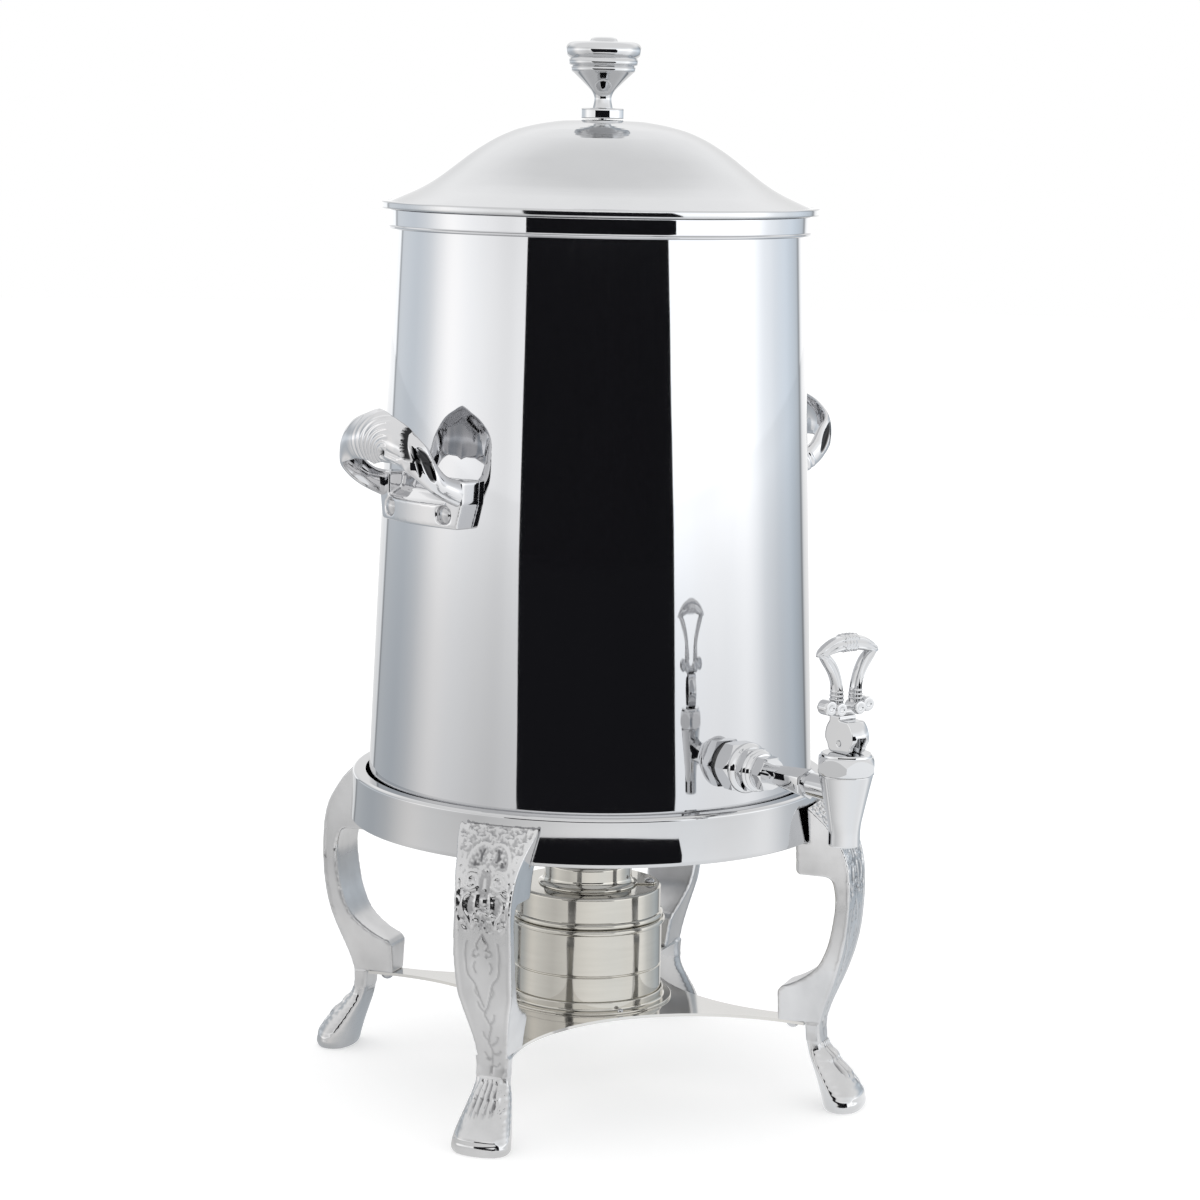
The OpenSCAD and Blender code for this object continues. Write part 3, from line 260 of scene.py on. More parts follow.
def spun(profile, closed=False, steps=180, lay=None):
    """Spins corners (radius, height, rounding, cuts) in millimetres about an upright axis."""
    usual_cuts, long_run, guard = 4, 0.003, 0.0004
    shape = bmesh.new()
    corners = [shape.verts.new((radius / 1000, 0, high / 1000)) for radius, high, *_ in profile]
    for pair in list(zip(corners, corners[1:])) + ([(corners[-1], corners[0])] if closed else []):
        shape.edges.new(pair)
    for corner, (_, _, *rounding) in zip(corners, profile):
        if rounding:
            bmesh.ops.bevel(
                shape, geom=[corner], offset=rounding[0] / 1000, offset_type="OFFSET", affect="VERTICES",
                segments=rounding[1] if len(rounding) > 1 else usual_cuts, profile=0.5, material=-1,
            )
    # A ring of points close to both ends of each long run keeps it straight to the eye.
    for run in list(shape.edges):
        long = run.calc_length()
        if long > long_run:
            first, last = run.verts
            rest, _ = bmesh.utils.edge_split(run, first, guard / long)
            far = rest if last in rest.verts else run
            bmesh.utils.edge_split(far, last, guard / far.calc_length())
    bmesh.ops.spin(
        shape, geom=shape.verts[:] + shape.edges[:], axis=(0, 0, 1), cent=(0, 0, 0),
        angle=math.tau, steps=steps, use_merge=True,
    )
    bmesh.ops.remove_doubles(shape, verts=shape.verts[:], dist=2e-6)
    bmesh.ops.dissolve_degenerate(shape, edges=shape.edges[:], dist=1e-6)
    bmesh.ops.recalc_face_normals(shape, faces=shape.faces[:])
    return moved(shape, lay) if lay else shape


def made(name, shape, sharp=32):
    """Puts a finished bmesh into the scene as a piece, with edges sharp past an angle."""
    cap_corners = 9
    for face in shape.faces:
        face.smooth = len(face.verts) < cap_corners
    for edge in shape.edges:
        edge.smooth = not edge.is_manifold or edge.calc_face_angle(0) < math.radians(sharp)
    return shown(name, shape)


def turned(name, profile, closed=False, steps=180, lay=None):
    """Makes a turned piece."""
    return made(name, spun(profile, closed, steps, lay))


def coated(piece, finish):
    """Gives a piece or a solid its one finish."""
    piece.data.materials.clear()
    piece.data.materials.append(finish)


def fitted(piece, body, finish, slot, *nodes):
    """Gives a piece its metal, its body and the solids it stands for."""
    coated(piece, finish)
    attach(piece, body)
    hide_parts(*nodes)


def polished(
    name, tint, dull, wave, wave_size=14, grain=(1, 1, 1), rub=0.4, stain=0.035, metallic=1.0
):
    """Polished metal: slow waves left by the wheel, fine rub marks and a breath of haze."""
    haze_size, rub_size = 30, 220
    metal = bpy.data.materials.new(name)
    metal.use_nodes = True
    nodes, links = metal.node_tree.nodes, metal.node_tree.links
    surface = nodes["Principled BSDF"]
    surface.inputs["Metallic"].default_value = metallic

    def mottled(over, size, detail):
        """Adds a noise over the metal, and gives its pattern."""
        mottle = nodes.new("ShaderNodeTexNoise")
        mottle.inputs["Scale"].default_value = size
        mottle.inputs["Detail"].default_value = detail
        links.new(over, mottle.inputs["Vector"])
        return mottle.outputs["Fac"]

    place = nodes.new("ShaderNodeTexCoord")
    run = nodes.new("ShaderNodeMapping")
    run.inputs["Scale"].default_value = grain
    links.new(place.outputs["Object"], run.inputs["Vector"])
    tone = nodes.new("ShaderNodeValToRGB")
    stained, clean = tone.color_ramp.elements
    stained.position, stained.color = 0.3, (*[c * (1 - stain) for c in tint], 1)
    clean.position, clean.color = 0.7, (*tint, 1)
    links.new(mottled(run.outputs[0], haze_size, 5), tone.inputs[0])
    links.new(tone.outputs[0], surface.inputs["Base Color"])
    rubbed = mottled(run.outputs[0], rub_size, 3)
    gloss = ranged(metal.node_tree, rubbed, (0, 1), (dull * (1 - rub), dull * (1 + rub)))
    links.new(gloss, surface.inputs["Roughness"])
    relief = nodes.new("ShaderNodeBump")
    relief.inputs["Strength"].default_value = 1.0
    relief.inputs["Distance"].default_value = wave
    links.new(mottled(place.outputs["Object"], wave_size, 1), relief.inputs["Height"])
    links.new(relief.outputs[0], surface.inputs["Normal"])
    return metal


vessel_foot, mouth = 186, 575
foot_r, mouth_r = 146.8, 131.7
wall, floor_sheet = 1.2, 1.5
# The widest turned pieces have this many faces round.
round_steps = 240
mirror_steel = polished("mirror_steel", (0.64, 0.645, 0.66), 0.035, 0.00010, grain=(1, 1, 0.15))
vessel = turned(
    "vessel",
    [
        (0, vessel_foot), (foot_r, vessel_foot, 3), (mouth_r, mouth, 0.5, 3), (mouth_r - wall, mouth, 0.5, 3),
        (145.25, vessel_foot + floor_sheet, 3), (0, vessel_foot + floor_sheet)
    ],
    steps=round_steps,
)
fitted(vessel, "urn", mirror_steel, "polished_steel", "vessel_shell")

# Its inside keeps the satin finish of the sheet.
inner_steel = polished("inner_steel", (0.66, 0.66, 0.65), 0.5, 0.00005, grain=(1, 1, 0.15))
vessel.data.materials.append(inner_steel)
for face in vessel.data.polygons:
    faces_axis = face.normal.x * face.center.x + face.normal.y * face.center.y < 0
    on_floor = face.normal.z > 0.9 and face.center.z * 1000 < mouth - 1
    face.material_index = int(faces_axis or on_floor)

# A plain band with a bead along its lower edge is spun over the mouth.
collar = turned(
    "collar",
    [
        (132.3, 562.3, 0.3, 2), (136.1, 562.3, 1.1, 5), (137.3, 563.5, 0.8, 4), (136.2, 564.8, 0.3, 3),
        (136.3, mouth, 0.6, 4), (131.8, mouth, 0.2, 2)
    ],
    closed=True, steps=round_steps,
)
fitted(collar, "urn", mirror_steel, "polished_steel", "rim_collar")

# ---- Lid -----------------------------------------------------------------------
# The domed lid is pressed from one sheet and its edge rolled into a bead. A ring
# under it drops into the vessel's mouth.
dome_steel = polished("dome_steel", (0.62, 0.625, 0.635), 0.07, 0.00005, 10)
dome_outside = [
    (2.6, 633.9), (14, 633.7), (27.9, 632.9, 3), (45, 630.2, 9), (59, 625.8, 8), (70, 620.4, 6),
    (82.5, 612.6, 6), (104.3, 595.8, 6), (114.7, 589.3, 6), (137.2, 579.4, 1.2, 3)
]
rolled_edge = [
    (138.5, 580.2, 0.8, 4), (141.2, 580.2, 0.6, 4), (142, 579.4, 0.4, 4), (142, 576, 0.4, 4),
    (141.2, 575.2, 0.4, 4), (138.0, 575.4, 1, 4), (136.9, 577.4, 0.6, 3)
]
dome_inside = [
    (114.2, 588.0, 6), (103.5, 594.7, 6), (81.8, 611.6, 6), (69.3, 619.4, 6), (58.4, 624.7, 8),
    (44.7, 629, 9), (27.8, 631.7, 3), (2.6, 632.7)
]
dome = turned("lid", dome_outside + rolled_edge + dome_inside, closed=True, steps=round_steps)
fitted(dome, "lid", dome_steel, "polished_steel", "lid_shell")
locator_in_r, locator_r = 128.5, 129.7
locator = turned(
    "lid_ring",
    [
        (locator_in_r, 559, 0.3, 2), (locator_r, 559, 0.3, 2), (locator_r, mouth, 0.1, 2),
        (135.3, mouth, 0.3, 2), (135.3, mouth + wall, 0.3, 2), (locator_r, mouth + wall, 0.3, 2),
        (locator_r, 581.5, 0.1, 2), (locator_in_r, 582.0, 0.1, 2)
    ],
    closed=True,
)
fitted(locator, "lid", mirror_steel, "polished_steel", "lid_locator")

# ---- Knob ----------------------------------------------------------------------
# The turned knob stands on a round washer, held from inside the lid by a screw.


def raised(low, profile):
    """Lifts a profile by a height."""
    return [(radius, low + high, *rounding) for radius, high, *rounding in profile]


chrome = polished("chrome", (0.66, 0.665, 0.675), 0.03, 0.00002, 30)
lid_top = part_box("knob_washer")[0].z * 1000
washer_h, knob_h = 6.6, 45
washer = turned(
    "knob_washer",
    raised(lid_top, [(2.6, 0), (13.9, 0, 0.5, 3), (13.9, washer_h, 1.2, 5), (2.6, washer_h)]),
    closed=True, steps=128,
)
fitted(washer, "lid", chrome, "tap_chrome", "knob_washer")
knob = turned(
    "knob",
    raised(lid_top + washer_h, [
        (0, 0), (6.6, 0, 0.3, 2), (6.2, 1.6, 1), (5.6, 4.5, 1.5), (5.6, 7.0, 1.5), (6.8, 10.3, 2),
        (12.0, 15.5, 3), (19.5, 22.4, 0.6, 3), (20.9, 23.4, 0.7, 4), (21.2, 25.6, 1, 4), (20.2, 26.6, 0.3, 3),
        (22.1, 27.2, 0.8, 4), (22.9, 29.4, 1.2, 4), (21.7, 31.6, 0.3, 3), (23.2, 32.6, 1.2, 5),
        (24.6, 35, 2, 6), (24.4, 39.5, 2.2, 6), (21, 42.0, 2, 6), (15.5, 41.6, 1.5, 5), (9.0, 42.4, 0.5, 3),
        (8.2, 44.2, 1, 4), (5, knob_h, 1, 4), (0, knob_h)
    ]),
    steps=160,
)
fitted(knob, "lid", chrome, "tap_chrome", "knob")

# ---- Ring ----------------------------------------------------------------------
# The stand's cast ring has an upright wall, a little flared at its foot and rounded
# along its top, and a ledge inside for the vessel. It is ground and polished.
ring_metal = polished("ring_metal", (0.62, 0.622, 0.63), 0.025, 0.00009, 12)
ring_low, ring_top = 178, 209
ring_in_r, ring_r, ledge_r, ledge_sheet = 148, 158, 138, 3
lean_low, lean_change = math.radians(4.4), math.radians(0.07)
flank = [
    (ring_r - lean_low * up + lean_change * up * up, ring_low + up) for up in (2.7 * k for k in range(1, 11))
]
ring = turned(
    "stand_ring",
    [
        (ledge_r, vessel_foot - ledge_sheet, 0.4, 3), (ring_in_r, vessel_foot - ledge_sheet, 0.4, 2),
        (ring_in_r, ring_low, 0.5, 3), (ring_r, ring_low, 0.7, 4)
    ] + flank + [
        (157.0, ring_top, 2.6, 6), (ring_in_r, ring_top, 1, 4),
        (ring_in_r, vessel_foot, 0.4, 2), (ledge_r, vessel_foot, 0.5, 3)
    ],
    closed=True, steps=round_steps,
)
fitted(ring, "stand", ring_metal, "cast_metal", "stand_ring")

# ---- Legs ----------------------------------------------------------------------
# Four bowed legs are cast from one pattern, with ornament in relief on their
# fronts. The knees and feet are polished, the shins are left satin. Two screws
# hold each one to the ring.


def solid_copy(node):
    """A merged copy of a solid's mesh."""
    shape = bmesh.new()
    shape.from_mesh(solids[node].data)
    bmesh.ops.remove_doubles(shape, verts=shape.verts[:], dist=1e-6)
    return shape


def cast_copy(shape, grain, rounds):
    """Redraws a shape with an even skin of small faces and softens its edges."""
    mould = made("mould", shape)
    skin = mould.modifiers.new("skin", "REMESH")
    skin.mode = "VOXEL"
    skin.voxel_size = grain
    seen = mould.evaluated_get(bpy.context.evaluated_depsgraph_get())
    casting = bmesh.new()
    casting.from_mesh(seen.to_mesh())
    seen.to_mesh_clear()
    bpy.data.objects.remove(mould)
    for _ in range(rounds):
        bmesh.ops.smooth_vert(
            casting, verts=casting.verts[:], factor=0.5, use_axis_x=True, use_axis_y=True, use_axis_z=True
        )
    casting.normal_update()
    return casting


def along(knots, share):
    """The point at a share of the way along a smooth curve through knots."""
    place = min(max(share, 0), 0.99999) * (len(knots) - 1)
    low = int(place)
    t = place - low
    a, b, c, d = (knots[min(max(k, 0), len(knots) - 1)] for k in range(low - 1, low + 3))
    return [
        0.5 * (2 * q + (r - p) * t + (2 * p - 5 * q + 4 * r - s) * t * t + (3 * q - p - 3 * r + s) * t ** 3)
        for p, q, r, s in zip(a, b, c, d)
    ]


def curl(x, z, outer, inner, begin, turns):
    """Knots of a curl that winds in, with angles in turns."""
    count = int(abs(turns) * 10) + 3
    knots = []
    for k in range(count + 1):
        reach = outer + (inner - outer) * k / count
        angle = math.tau * (begin + turns * k / count)
        knots.append((x + reach * math.cos(angle), z + reach * math.sin(angle)))
    return knots


# Strokes on one half of a leg's front: width, height and knots (across, up).
half_strokes = [
    (1.0, 0.6, [
        (0, 190.5), (3, 192.4), (6.5, 192.4), (10, 190.2), (12.6, 186.5), (13.8, 181), (12.6, 177),
        (9.5, 176.5)
    ]),
    (0.9, -0.6, [(4.6, 189), (5.6, 186), (4.8, 183)]),
    (0.9, -0.6, [(8.8, 182), (8.4, 179), (6.2, 177.8)]),
    (1.2, 0.7, curl(8.8, 171, 6.4, 1.6, 0.3, -1.7)),
    (1.1, 0.6, [(2.2, 180), (4.6, 177.5), (2.6, 174.6)]),
    (1.3, -0.8, [(1.2, 176), (2.6, 170), (1.2, 163)]),
    (1.1, 0.6, [(0.3, 178), (0.9, 168), (0.3, 158)]),
    (1.0, 0.7, [
        (4.2, 164), (4.8, 157), (5.8, 150), (7, 143.5), (9.4, 149), (12.2, 154), (12.6, 160), (10, 163.5)
    ]),
    (1.7, -0.9, [(8, 160.5), (8.2, 157), (7.8, 153)]),
    (0.9, 0.5, [(6.4, 163), (8, 157), (7.4, 150)]),
    (1.1, 0.7, curl(18.4, 184, 4.2, 1, 0.6, 1.5)),
    (1.1, 0.6, [(14.4, 181), (16.4, 175), (14.8, 169), (16.6, 163), (14.6, 157), (13, 150)]),
    (1.0, 0.6, [(19.6, 177), (17.8, 171), (19, 166)]),
    (1.3, -0.7, [(16.8, 170), (17.4, 165)]),
    (1.0, 0.5, [(14.4, 158), (16.2, 152), (14.6, 146), (11, 141)]),
    (0.8, -0.45, [(0, 139), (1.8, 135.5), (3.6, 132), (2.6, 129.6)]),
    (0.7, -0.4, curl(3.4, 126.4, 2.7, 1, 0.2, -0.7)),
    (0.7, -0.4, [(9.4, 134), (10.4, 127), (10, 118), (9, 112), (5.4, 106.5), (3.2, 98), (1.2, 91)]),
    (0.7, -0.4, [(4.6, 121), (5.6, 117.5), (4.2, 114)]),
    (0.7, -0.35, [(3.4, 97), (5.6, 101), (5, 104.6)]),
]
# Strokes that stand once, on the shin.
lone_strokes = [
    (0.7, -0.4, [
        (1.2, 91), (-1.2, 86), (0.4, 81), (1.6, 77), (0.2, 72), (-1, 66), (0.8, 60), (0.2, 53), (0.6, 46)
    ]),
    (0.9, -0.35, [(-0.6, 87), (-3.4, 90), (-4.6, 94)]),
    (0.9, -0.35, [(1.4, 79), (3.8, 82), (4.6, 86)]),
    (0.8, -0.35, [(0.8, 64), (3.6, 66.5), (5.2, 70)]),
    (0.8, -0.35, [(-0.6, 67), (-3, 69.5), (-3.6, 73)]),
    (0.9, -0.35, [(0.6, 59), (3.6, 58), (5.8, 60.4)]),
    (0.9, -0.35, [(0.4, 55), (-2.4, 56), (-4, 59)]),
    (0.9, -0.35, [(0.6, 51), (3.4, 50.4), (5, 52.6)]),
]
# Small sprigs of four curved leaves over the knee: middle and reach.
flowers = [
    (0, 200.4, 2.4), (0, 195, 1.7), (5.6, 197.6, 2.2), (10.8, 201.2, 2.3), (10.6, 195.2, 1.9),
    (15.6, 197.8, 2.2), (20.6, 201.2, 2.3), (16.4, 191.2, 1.8), (21.4, 193.6, 2.2), (20.6, 171.6, 1.8),
    (0, 184.6, 1.9), (12.6, 167.6, 1.6), (17.6, 156.4, 1.5), (4.2, 146.6, 1.3), (1.6, 151.6, 1.5),
    (11.6, 145.6, 1.2)
]

# Every stroke and leaf becomes a row of marks, each with its width and height.
marks, weights = [], []
mark_gap, leaves, leaf_marks = 0.4, 4, 6
for width, rise, knots in half_strokes + lone_strokes:
    count = int(sum(math.dist(p, q) for p, q in zip(knots, knots[1:])) / mark_gap) + 2
    sides = (1,) if (width, rise, knots) in lone_strokes else (1, -1)
    for k in range(count + 1):
        x, z = along(knots, k / count)
        for flip in sides:
            marks.append((x * flip, 0, z))
            weights.append((width, rise))
for x, z, size in flowers:
    for flip in (1, -1) if x else (1,):
        for step in range(leaves * leaf_marks):
            leaf, share = step % leaves, step // leaves / (leaf_marks - 1)
            at = math.tau * leaf / leaves + x * 1.7 + z + 0.9 * share
            out = size * (0.2 + 1.1 * share)
            marks.append(((x + out * math.cos(at)) * flip, 0, z + out * math.sin(at)))
            weights.append((size * (0.36 - 0.14 * share), 0.8))
tree_of_marks = kdtree.KDTree(len(marks))
for k, mark in enumerate(marks):
    tree_of_marks.insert(mark, k)
tree_of_marks.balance()

# Half widths of the leg's front at heights from the table up.
leg_edge = (
    (0, 16.6), (4, 16.9), (11, 15.5), (20, 13.3), (31, 11.2), (40, 9.3), (51, 9), (61, 9.8), (74, 11.7),
    (86, 14), (99, 16.7), (124, 17.8), (150, 17.5), (166, 18.5), (181, 21), (195, 25), (200, 26), (210, 26)
)


def between(value, none, full):
    """The share of the way from none to full, held from 0 to 1."""
    return min(max((value - none) / (full - none), 0), 1)


def foot_petals(x, z):
    """Height of the five tulip petals that fan over the foot, with grooves between them."""
    low, high = 16, 43
    if not low < z < high:
        return 0
    fan = (high - z) / (high - low)
    ends = min(between(z, high, high - 3), between(z, 20, 28))
    rise = -0.75 * ends * between(5 + 6 * fan - abs(x), 0, 1.5)
    rise += 0.3 * noise.noise(Vector((x * 0.7, 3, z * 0.4))) * between(z, low, low + 3)
    for k in range(-2, 3):
        tip = between(z - 2.5 * abs(k), 19, 27) ** 0.5
        half = (1.05 + 0.95 * fan) * tip
        off = abs(x - k * (2.7 + 2.9 * fan))
        if off < half:
            rise = max(rise, 1.25 * tip * (1 - (off / half) ** 2) ** 0.5)
    return rise


# How far the foot's back and front stand out at heights from the table up, and the
# front once more as the rounded hoof has it.
ankle = 56
foot_back = ((0, 169), (15, 165), (30, 160), (42, 157), (ankle, 156))
foot_front = (
    (0, 194.5), (7.5, 193.4), (14.6, 186.5), (23.5, 176.6), (33.6, 167.4), (47, 164.5), (ankle, 165.5)
)
hoof_front = (
    (0, 193.6), (4, 194.3), (8, 193.9), (12, 192.8), (17, 190.2), (25, 183.6), (33.6, 174.6), (40, 169),
    (47, 166), (ankle, 165.5)
)


def at_height(table, z):
    """A value read from a table of heights."""
    for (low, near), (high, far) in zip(table, table[1:]):
        if z <= high:
            return near + (far - near) * (z - low) / (high - low)
    return table[-1][1]


def round_foot(leg):
    """Rounds the foot's square section to a hoof's, less and less towards the ankle."""
    smooth_low, core = 0.044, 0.3
    for point in leg.verts:
        z = point.co.z * 1000
        if z > ankle:
            continue
        back, front, half = at_height(foot_back, z), at_height(foot_front, z), at_height(leg_edge, z)
        middle = (back + front) / 2
        u = (point.co.x * 1000 - middle) / (front - middle)
        v = point.co.y * 1000 / half
        bulge = (at_height(hoof_front, z) - middle) / (front - middle) if u > 0 else 1
        power = 2.2 + 8 * between(z, 26, ankle) ** 2
        size = max(abs(u), abs(v))
        if size > core:
            shrink = size / (abs(u) ** power + abs(v) ** power) ** (1 / power)
            shrink *= 1 - 0.05 * max(0, 1 - z / 3) ** 2
            point.co.x = (middle + u * shrink * bulge * (front - middle)) / 1000
            point.co.y *= shrink * (1.15 + 0.1 * max(0, 1 - ((z - 28) / 22) ** 2))
    for _ in range(12):
        bmesh.ops.smooth_vert(
            leg, verts=[point for point in leg.verts if point.co.z < smooth_low], factor=0.5,
            use_axis_x=True, use_axis_y=True, use_axis_z=False,
        )
    leg.normal_update()


def carve_leg(leg):
    """Presses the ornament into a leg that stands along +X, and returns its polish and the shade painted into
    its hollows.
    """
    reach, brim_half, satin_gloss = 2.6, 1.3, 0.15
    gloss, painted_shade = [], []
    for point in leg.verts:
        x, z = point.co.y * 1000, point.co.z * 1000
        facing = between(point.normal.x + max(point.normal.z, 0) * 0.6, 0.35, 0.65)
        rise = 0
        if facing > 0:
            # The ground round the knee's strokes lies lower and is grained.
            ground = between(z, 139, 145) * between(z, 207, 204)
            rise = ground * (0.75 * noise.noise(Vector((x, 7, z)) * 0.55) - 0.5)
            for _, k, gap in tree_of_marks.find_range((x, 0, z), reach):
                width, tall = weights[k]
                swell = max(0, 1 - (gap / (width * 1.25)) ** 2)
                if tall > 0:
                    rise = max(rise, 1.25 * tall * swell - 0.55 * ground)
                elif swell:
                    rise = min(rise, 1.3 * tall * swell - 0.3 * ground)
            rise += foot_petals(x, z)
            off = (at_height(leg_edge, z) - brim_half - abs(x)) / brim_half
            brim = max(0, 1 - off ** 2) * between(z, 60, 90)
            rise = max(rise, 0.7 * brim) if brim > 0 else rise
        point.co += point.normal * rise * facing / 1000
        flare = between(point.normal.x, -0.3, 0.3) * between(z, 36, ankle)
        point.co.y *= 1 + 0.08 * flare * between(z, 185, 145)
        gloss.append(max(between(z, 128, 144) * 0.8, between(z, 46, 38), satin_gloss))
        # Painted shade: the deeper a hollow of the relief, the darker its colour.
        painted_shade.append(min(max(-0.2 - rise, 0) * facing * 1.4, 1))
    return gloss, painted_shade


leg_turns = [math.radians(45 + 90 * k - 12.85) for k in range(4)]
pattern = cast_copy(moved(solid_copy("leg_1"), Matrix.Rotation(-leg_turns[0], 4, "Z")), 0.0008, 3)
round_foot(pattern)
leg_gloss, leg_painted_shade = carve_leg(pattern)
leg_metal = polished("leg_metal", (0.72, 0.72, 0.725), 0.2, 0.00025, 70, (1, 1, 0.6), 0.3, 0.24)
polish = leg_metal.node_tree.nodes.new("ShaderNodeAttribute")
polish.attribute_name = "polish"
leg_metal.node_tree.links.new(
    ranged(leg_metal.node_tree, polish.outputs["Fac"], (0, 1), (0.36, 0.07)),
    leg_metal.node_tree.nodes["Principled BSDF"].inputs["Roughness"],
)


def shade_hollows(metal, tone):
    """Paints shade into the hollows of a relief by darkening the metal's colour there."""
    nodes, links = metal.node_tree.nodes, metal.node_tree.links
    shade_mask = nodes.new("ShaderNodeAttribute")
    shade_mask.attribute_name = "painted_shade"
    darken = nodes.new("ShaderNodeMix")
    darken.data_type = "RGBA"
    darken.inputs[7].default_value = (tone, tone, tone * 1.05, 1)
    links.new(shade_mask.outputs["Fac"], darken.inputs[0])
    links.new(nodes["Color Ramp"].outputs[0], darken.inputs[6])
    links.new(darken.outputs[2], nodes["Principled BSDF"].inputs["Base Color"])


# The hollows of the legs' relief get painted shade.
shade_hollows(leg_metal, 0.14)
for number, bearing in enumerate(leg_turns, 1):
    leg = made(f"leg_{number}", moved(pattern.copy(), Matrix.Rotation(bearing, 4, "Z")), 180)
    for label, values in (("polish", leg_gloss), ("painted_shade", leg_painted_shade)):
        leg.data.attributes.new(label, "FLOAT", "POINT").data.foreach_set("value", values)
    fitted(leg, "stand", leg_metal, "cast_metal", f"leg_{number}")
pattern.free()

screw_steel = polished("screw_steel", (0.56, 0.56, 0.57), 0.16, 0.00002, 200, rub=0.3)
for node in ("leg_screws", "shelf_screws", "seat_screws"):
    coated(solids[node], screw_steel)

# ---- Shelf and burner ------------------------------------------------------------
# A four-pointed shelf of polished sheet is screwed to the legs' tabs. A flanged
# ring on it holds the fuel burner, which lifts out. The cup, its cover and the
# snuffer cap are spun from thin stainless sheet and finely brushed; the warm tint
# in their colour is a painted reflection of warm surroundings.
shelf_steel = polished("shelf_steel", (0.70, 0.69, 0.67), 0.07, 0.00004, 20)
coated(solids["shelf_plate"], shelf_steel)
# The warm tint of this colour is a painted reflection of warm surroundings, laid over the steel's grey.
burner_steel = polished("burner_steel", (0.62, 0.6, 0.55), 0.075, 0.00005, 18, (1, 1, 9), 0.35, 0.05)
shelf_top, burner_steps = 56, 144
cup_r, cup_in_r = 49.7, 48.5
for node, body, closed, profile in (
    ("burner_seat", "stand", True, [
        (50, shelf_top), (57, shelf_top, 0.3, 2), (57, 57.5, 0.5, 3), (51.5, 57.5, 1, 4),
        (51.5, 63, 0.7, 4), (50, 63, 0.7, 4)
    ]),
    ("burner_cup", "burner", False, [
        (0, shelf_top), (cup_r, shelf_top, 1.4), (cup_r, 78.8, 0.2, 2), (48.9, 79.2, 0.3, 3),
        (48.9, 79.9, 0.3, 3), (cup_r, 80.3, 0.2, 2), (cup_r, 106.9, 0.3, 2), (51.2, 107.4, 0.5, 4),
        (52, 109, 0.9, 5), (51.2, 110.6, 0.5, 4), (49.4, 111, 0.2, 2), (cup_in_r, 111, 0.2, 2),
        (cup_in_r, 57.5, 0.8), (0, 57.5)
    ]),
    ("burner_cover", "cover", True, [
        (47, 104, 0.2, 2), (48.2, 104, 0.2, 2), (48.2, 111, 0.1, 2), (49.8, 111.3, 0.3, 3),
        (50.6, 113, 0.9, 5), (49.8, 114.7, 0.5, 4), (48.7, 115.1, 0.2, 2), (48.7, 132, 1.8, 5),
        (27, 132, 0.4, 3), (27, 130.8, 0.4, 3), (47, 130.8, 0.8)
    ])
):
    fitted(turned(node, profile, closed, burner_steps), body, burner_steel, "burner_steel", node)

# The snuffer cap swings on a rivet that goes through its ear.
rivet_out = 0.041
rivet_turn = Matrix.Rotation(math.radians(-38), 4, "Z")
rivet = turned(
    "snuffer_rivet",
    [
        (0, 129.4), (3.4, 129.4, 0.3, 2), (3.4, 130.8), (2, 130.8), (2, 133.3), (3.4, 133.3, 0.2, 2),
        (2.6, 135, 1, 4), (0, 135.6)
    ],
    steps=48, lay=rivet_turn @ Matrix.Translation((rivet_out, 0, 0)),
)
fitted(rivet, "cover", screw_steel, "fasteners", "snuffer_rivet")
cap_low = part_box("snuffer_cap")[0].z * 1000
outside = [
    (32, 0), (33, 0, 0.3, 3), (32.8, 1.1, 0.3, 3), (30.2, 2, 1.2), (29, 5, 1), (29, 15, 2, 5),
    (27, 15, 2), (25.6, 14.2, 1), (8, 14.2, 1), (0, 14.6)
]
inside = [(32, 0), (28.8, 1.6, 1), (27.8, 4.4, 1), (27.8, 13.4, 1), (0, 13.4)]


def gathered(*shapes):
    """Puts several shapes into one."""
    whole = bmesh.new()
    for shape in shapes:
        part = bpy.data.meshes.new("part")
        shape.to_mesh(part)
        shape.free()
        whole.from_mesh(part)
        bpy.data.meshes.remove(part)
    return whole


cap = gathered(*[spun(raised(cap_low, profile), steps=120) for profile in (outside, inside)])
bmesh.ops.remove_doubles(cap, verts=cap.verts[:], dist=2e-6)
bmesh.ops.recalc_face_normals(cap, faces=cap.faces[:])
ear_r, ear_sheet, ear_reach = 0.005, 0.001, 0.010
ear = bmesh.new()
bmesh.ops.create_cone(ear, cap_ends=True, segments=40, radius1=ear_r, radius2=ear_r, depth=ear_sheet)
bmesh.ops.translate(ear, verts=ear.verts[:], vec=(rivet_out, 0, cap_low / 1000 + ear_sheet / 2))
for point in ear.verts:
    if point.co.x < rivet_out:
        point.co.x -= ear_reach
bmesh.ops.bevel(
    ear, geom=[edge for edge in ear.edges if edge.calc_face_angle(0) > 1], offset=0.0002, segments=2,
    profile=0.5, affect="EDGES", material=-1,
)
snuffer = made("snuffer_cap", gathered(cap, moved(ear, rivet_turn)))
fitted(snuffer, "snuffer", burner_steel, "burner_steel", "snuffer_cap")

# ---- Handles -------------------------------------------------------------------
# Each handle is a polished casting: a base bent round the vessel and held by two
# screws, and a grip whose arms rise into a broad pointed shell, ribbed round a
# scroll, hollow at the back and fluted where it turns into the arms.
handle_metal = polished("handle_metal", (0.70, 0.70, 0.71), 0.05, 0.00004, 40)
# The grip's scroll eye, fold and flutes get painted shade, almost black.
shade_hollows(handle_metal, 0.03)


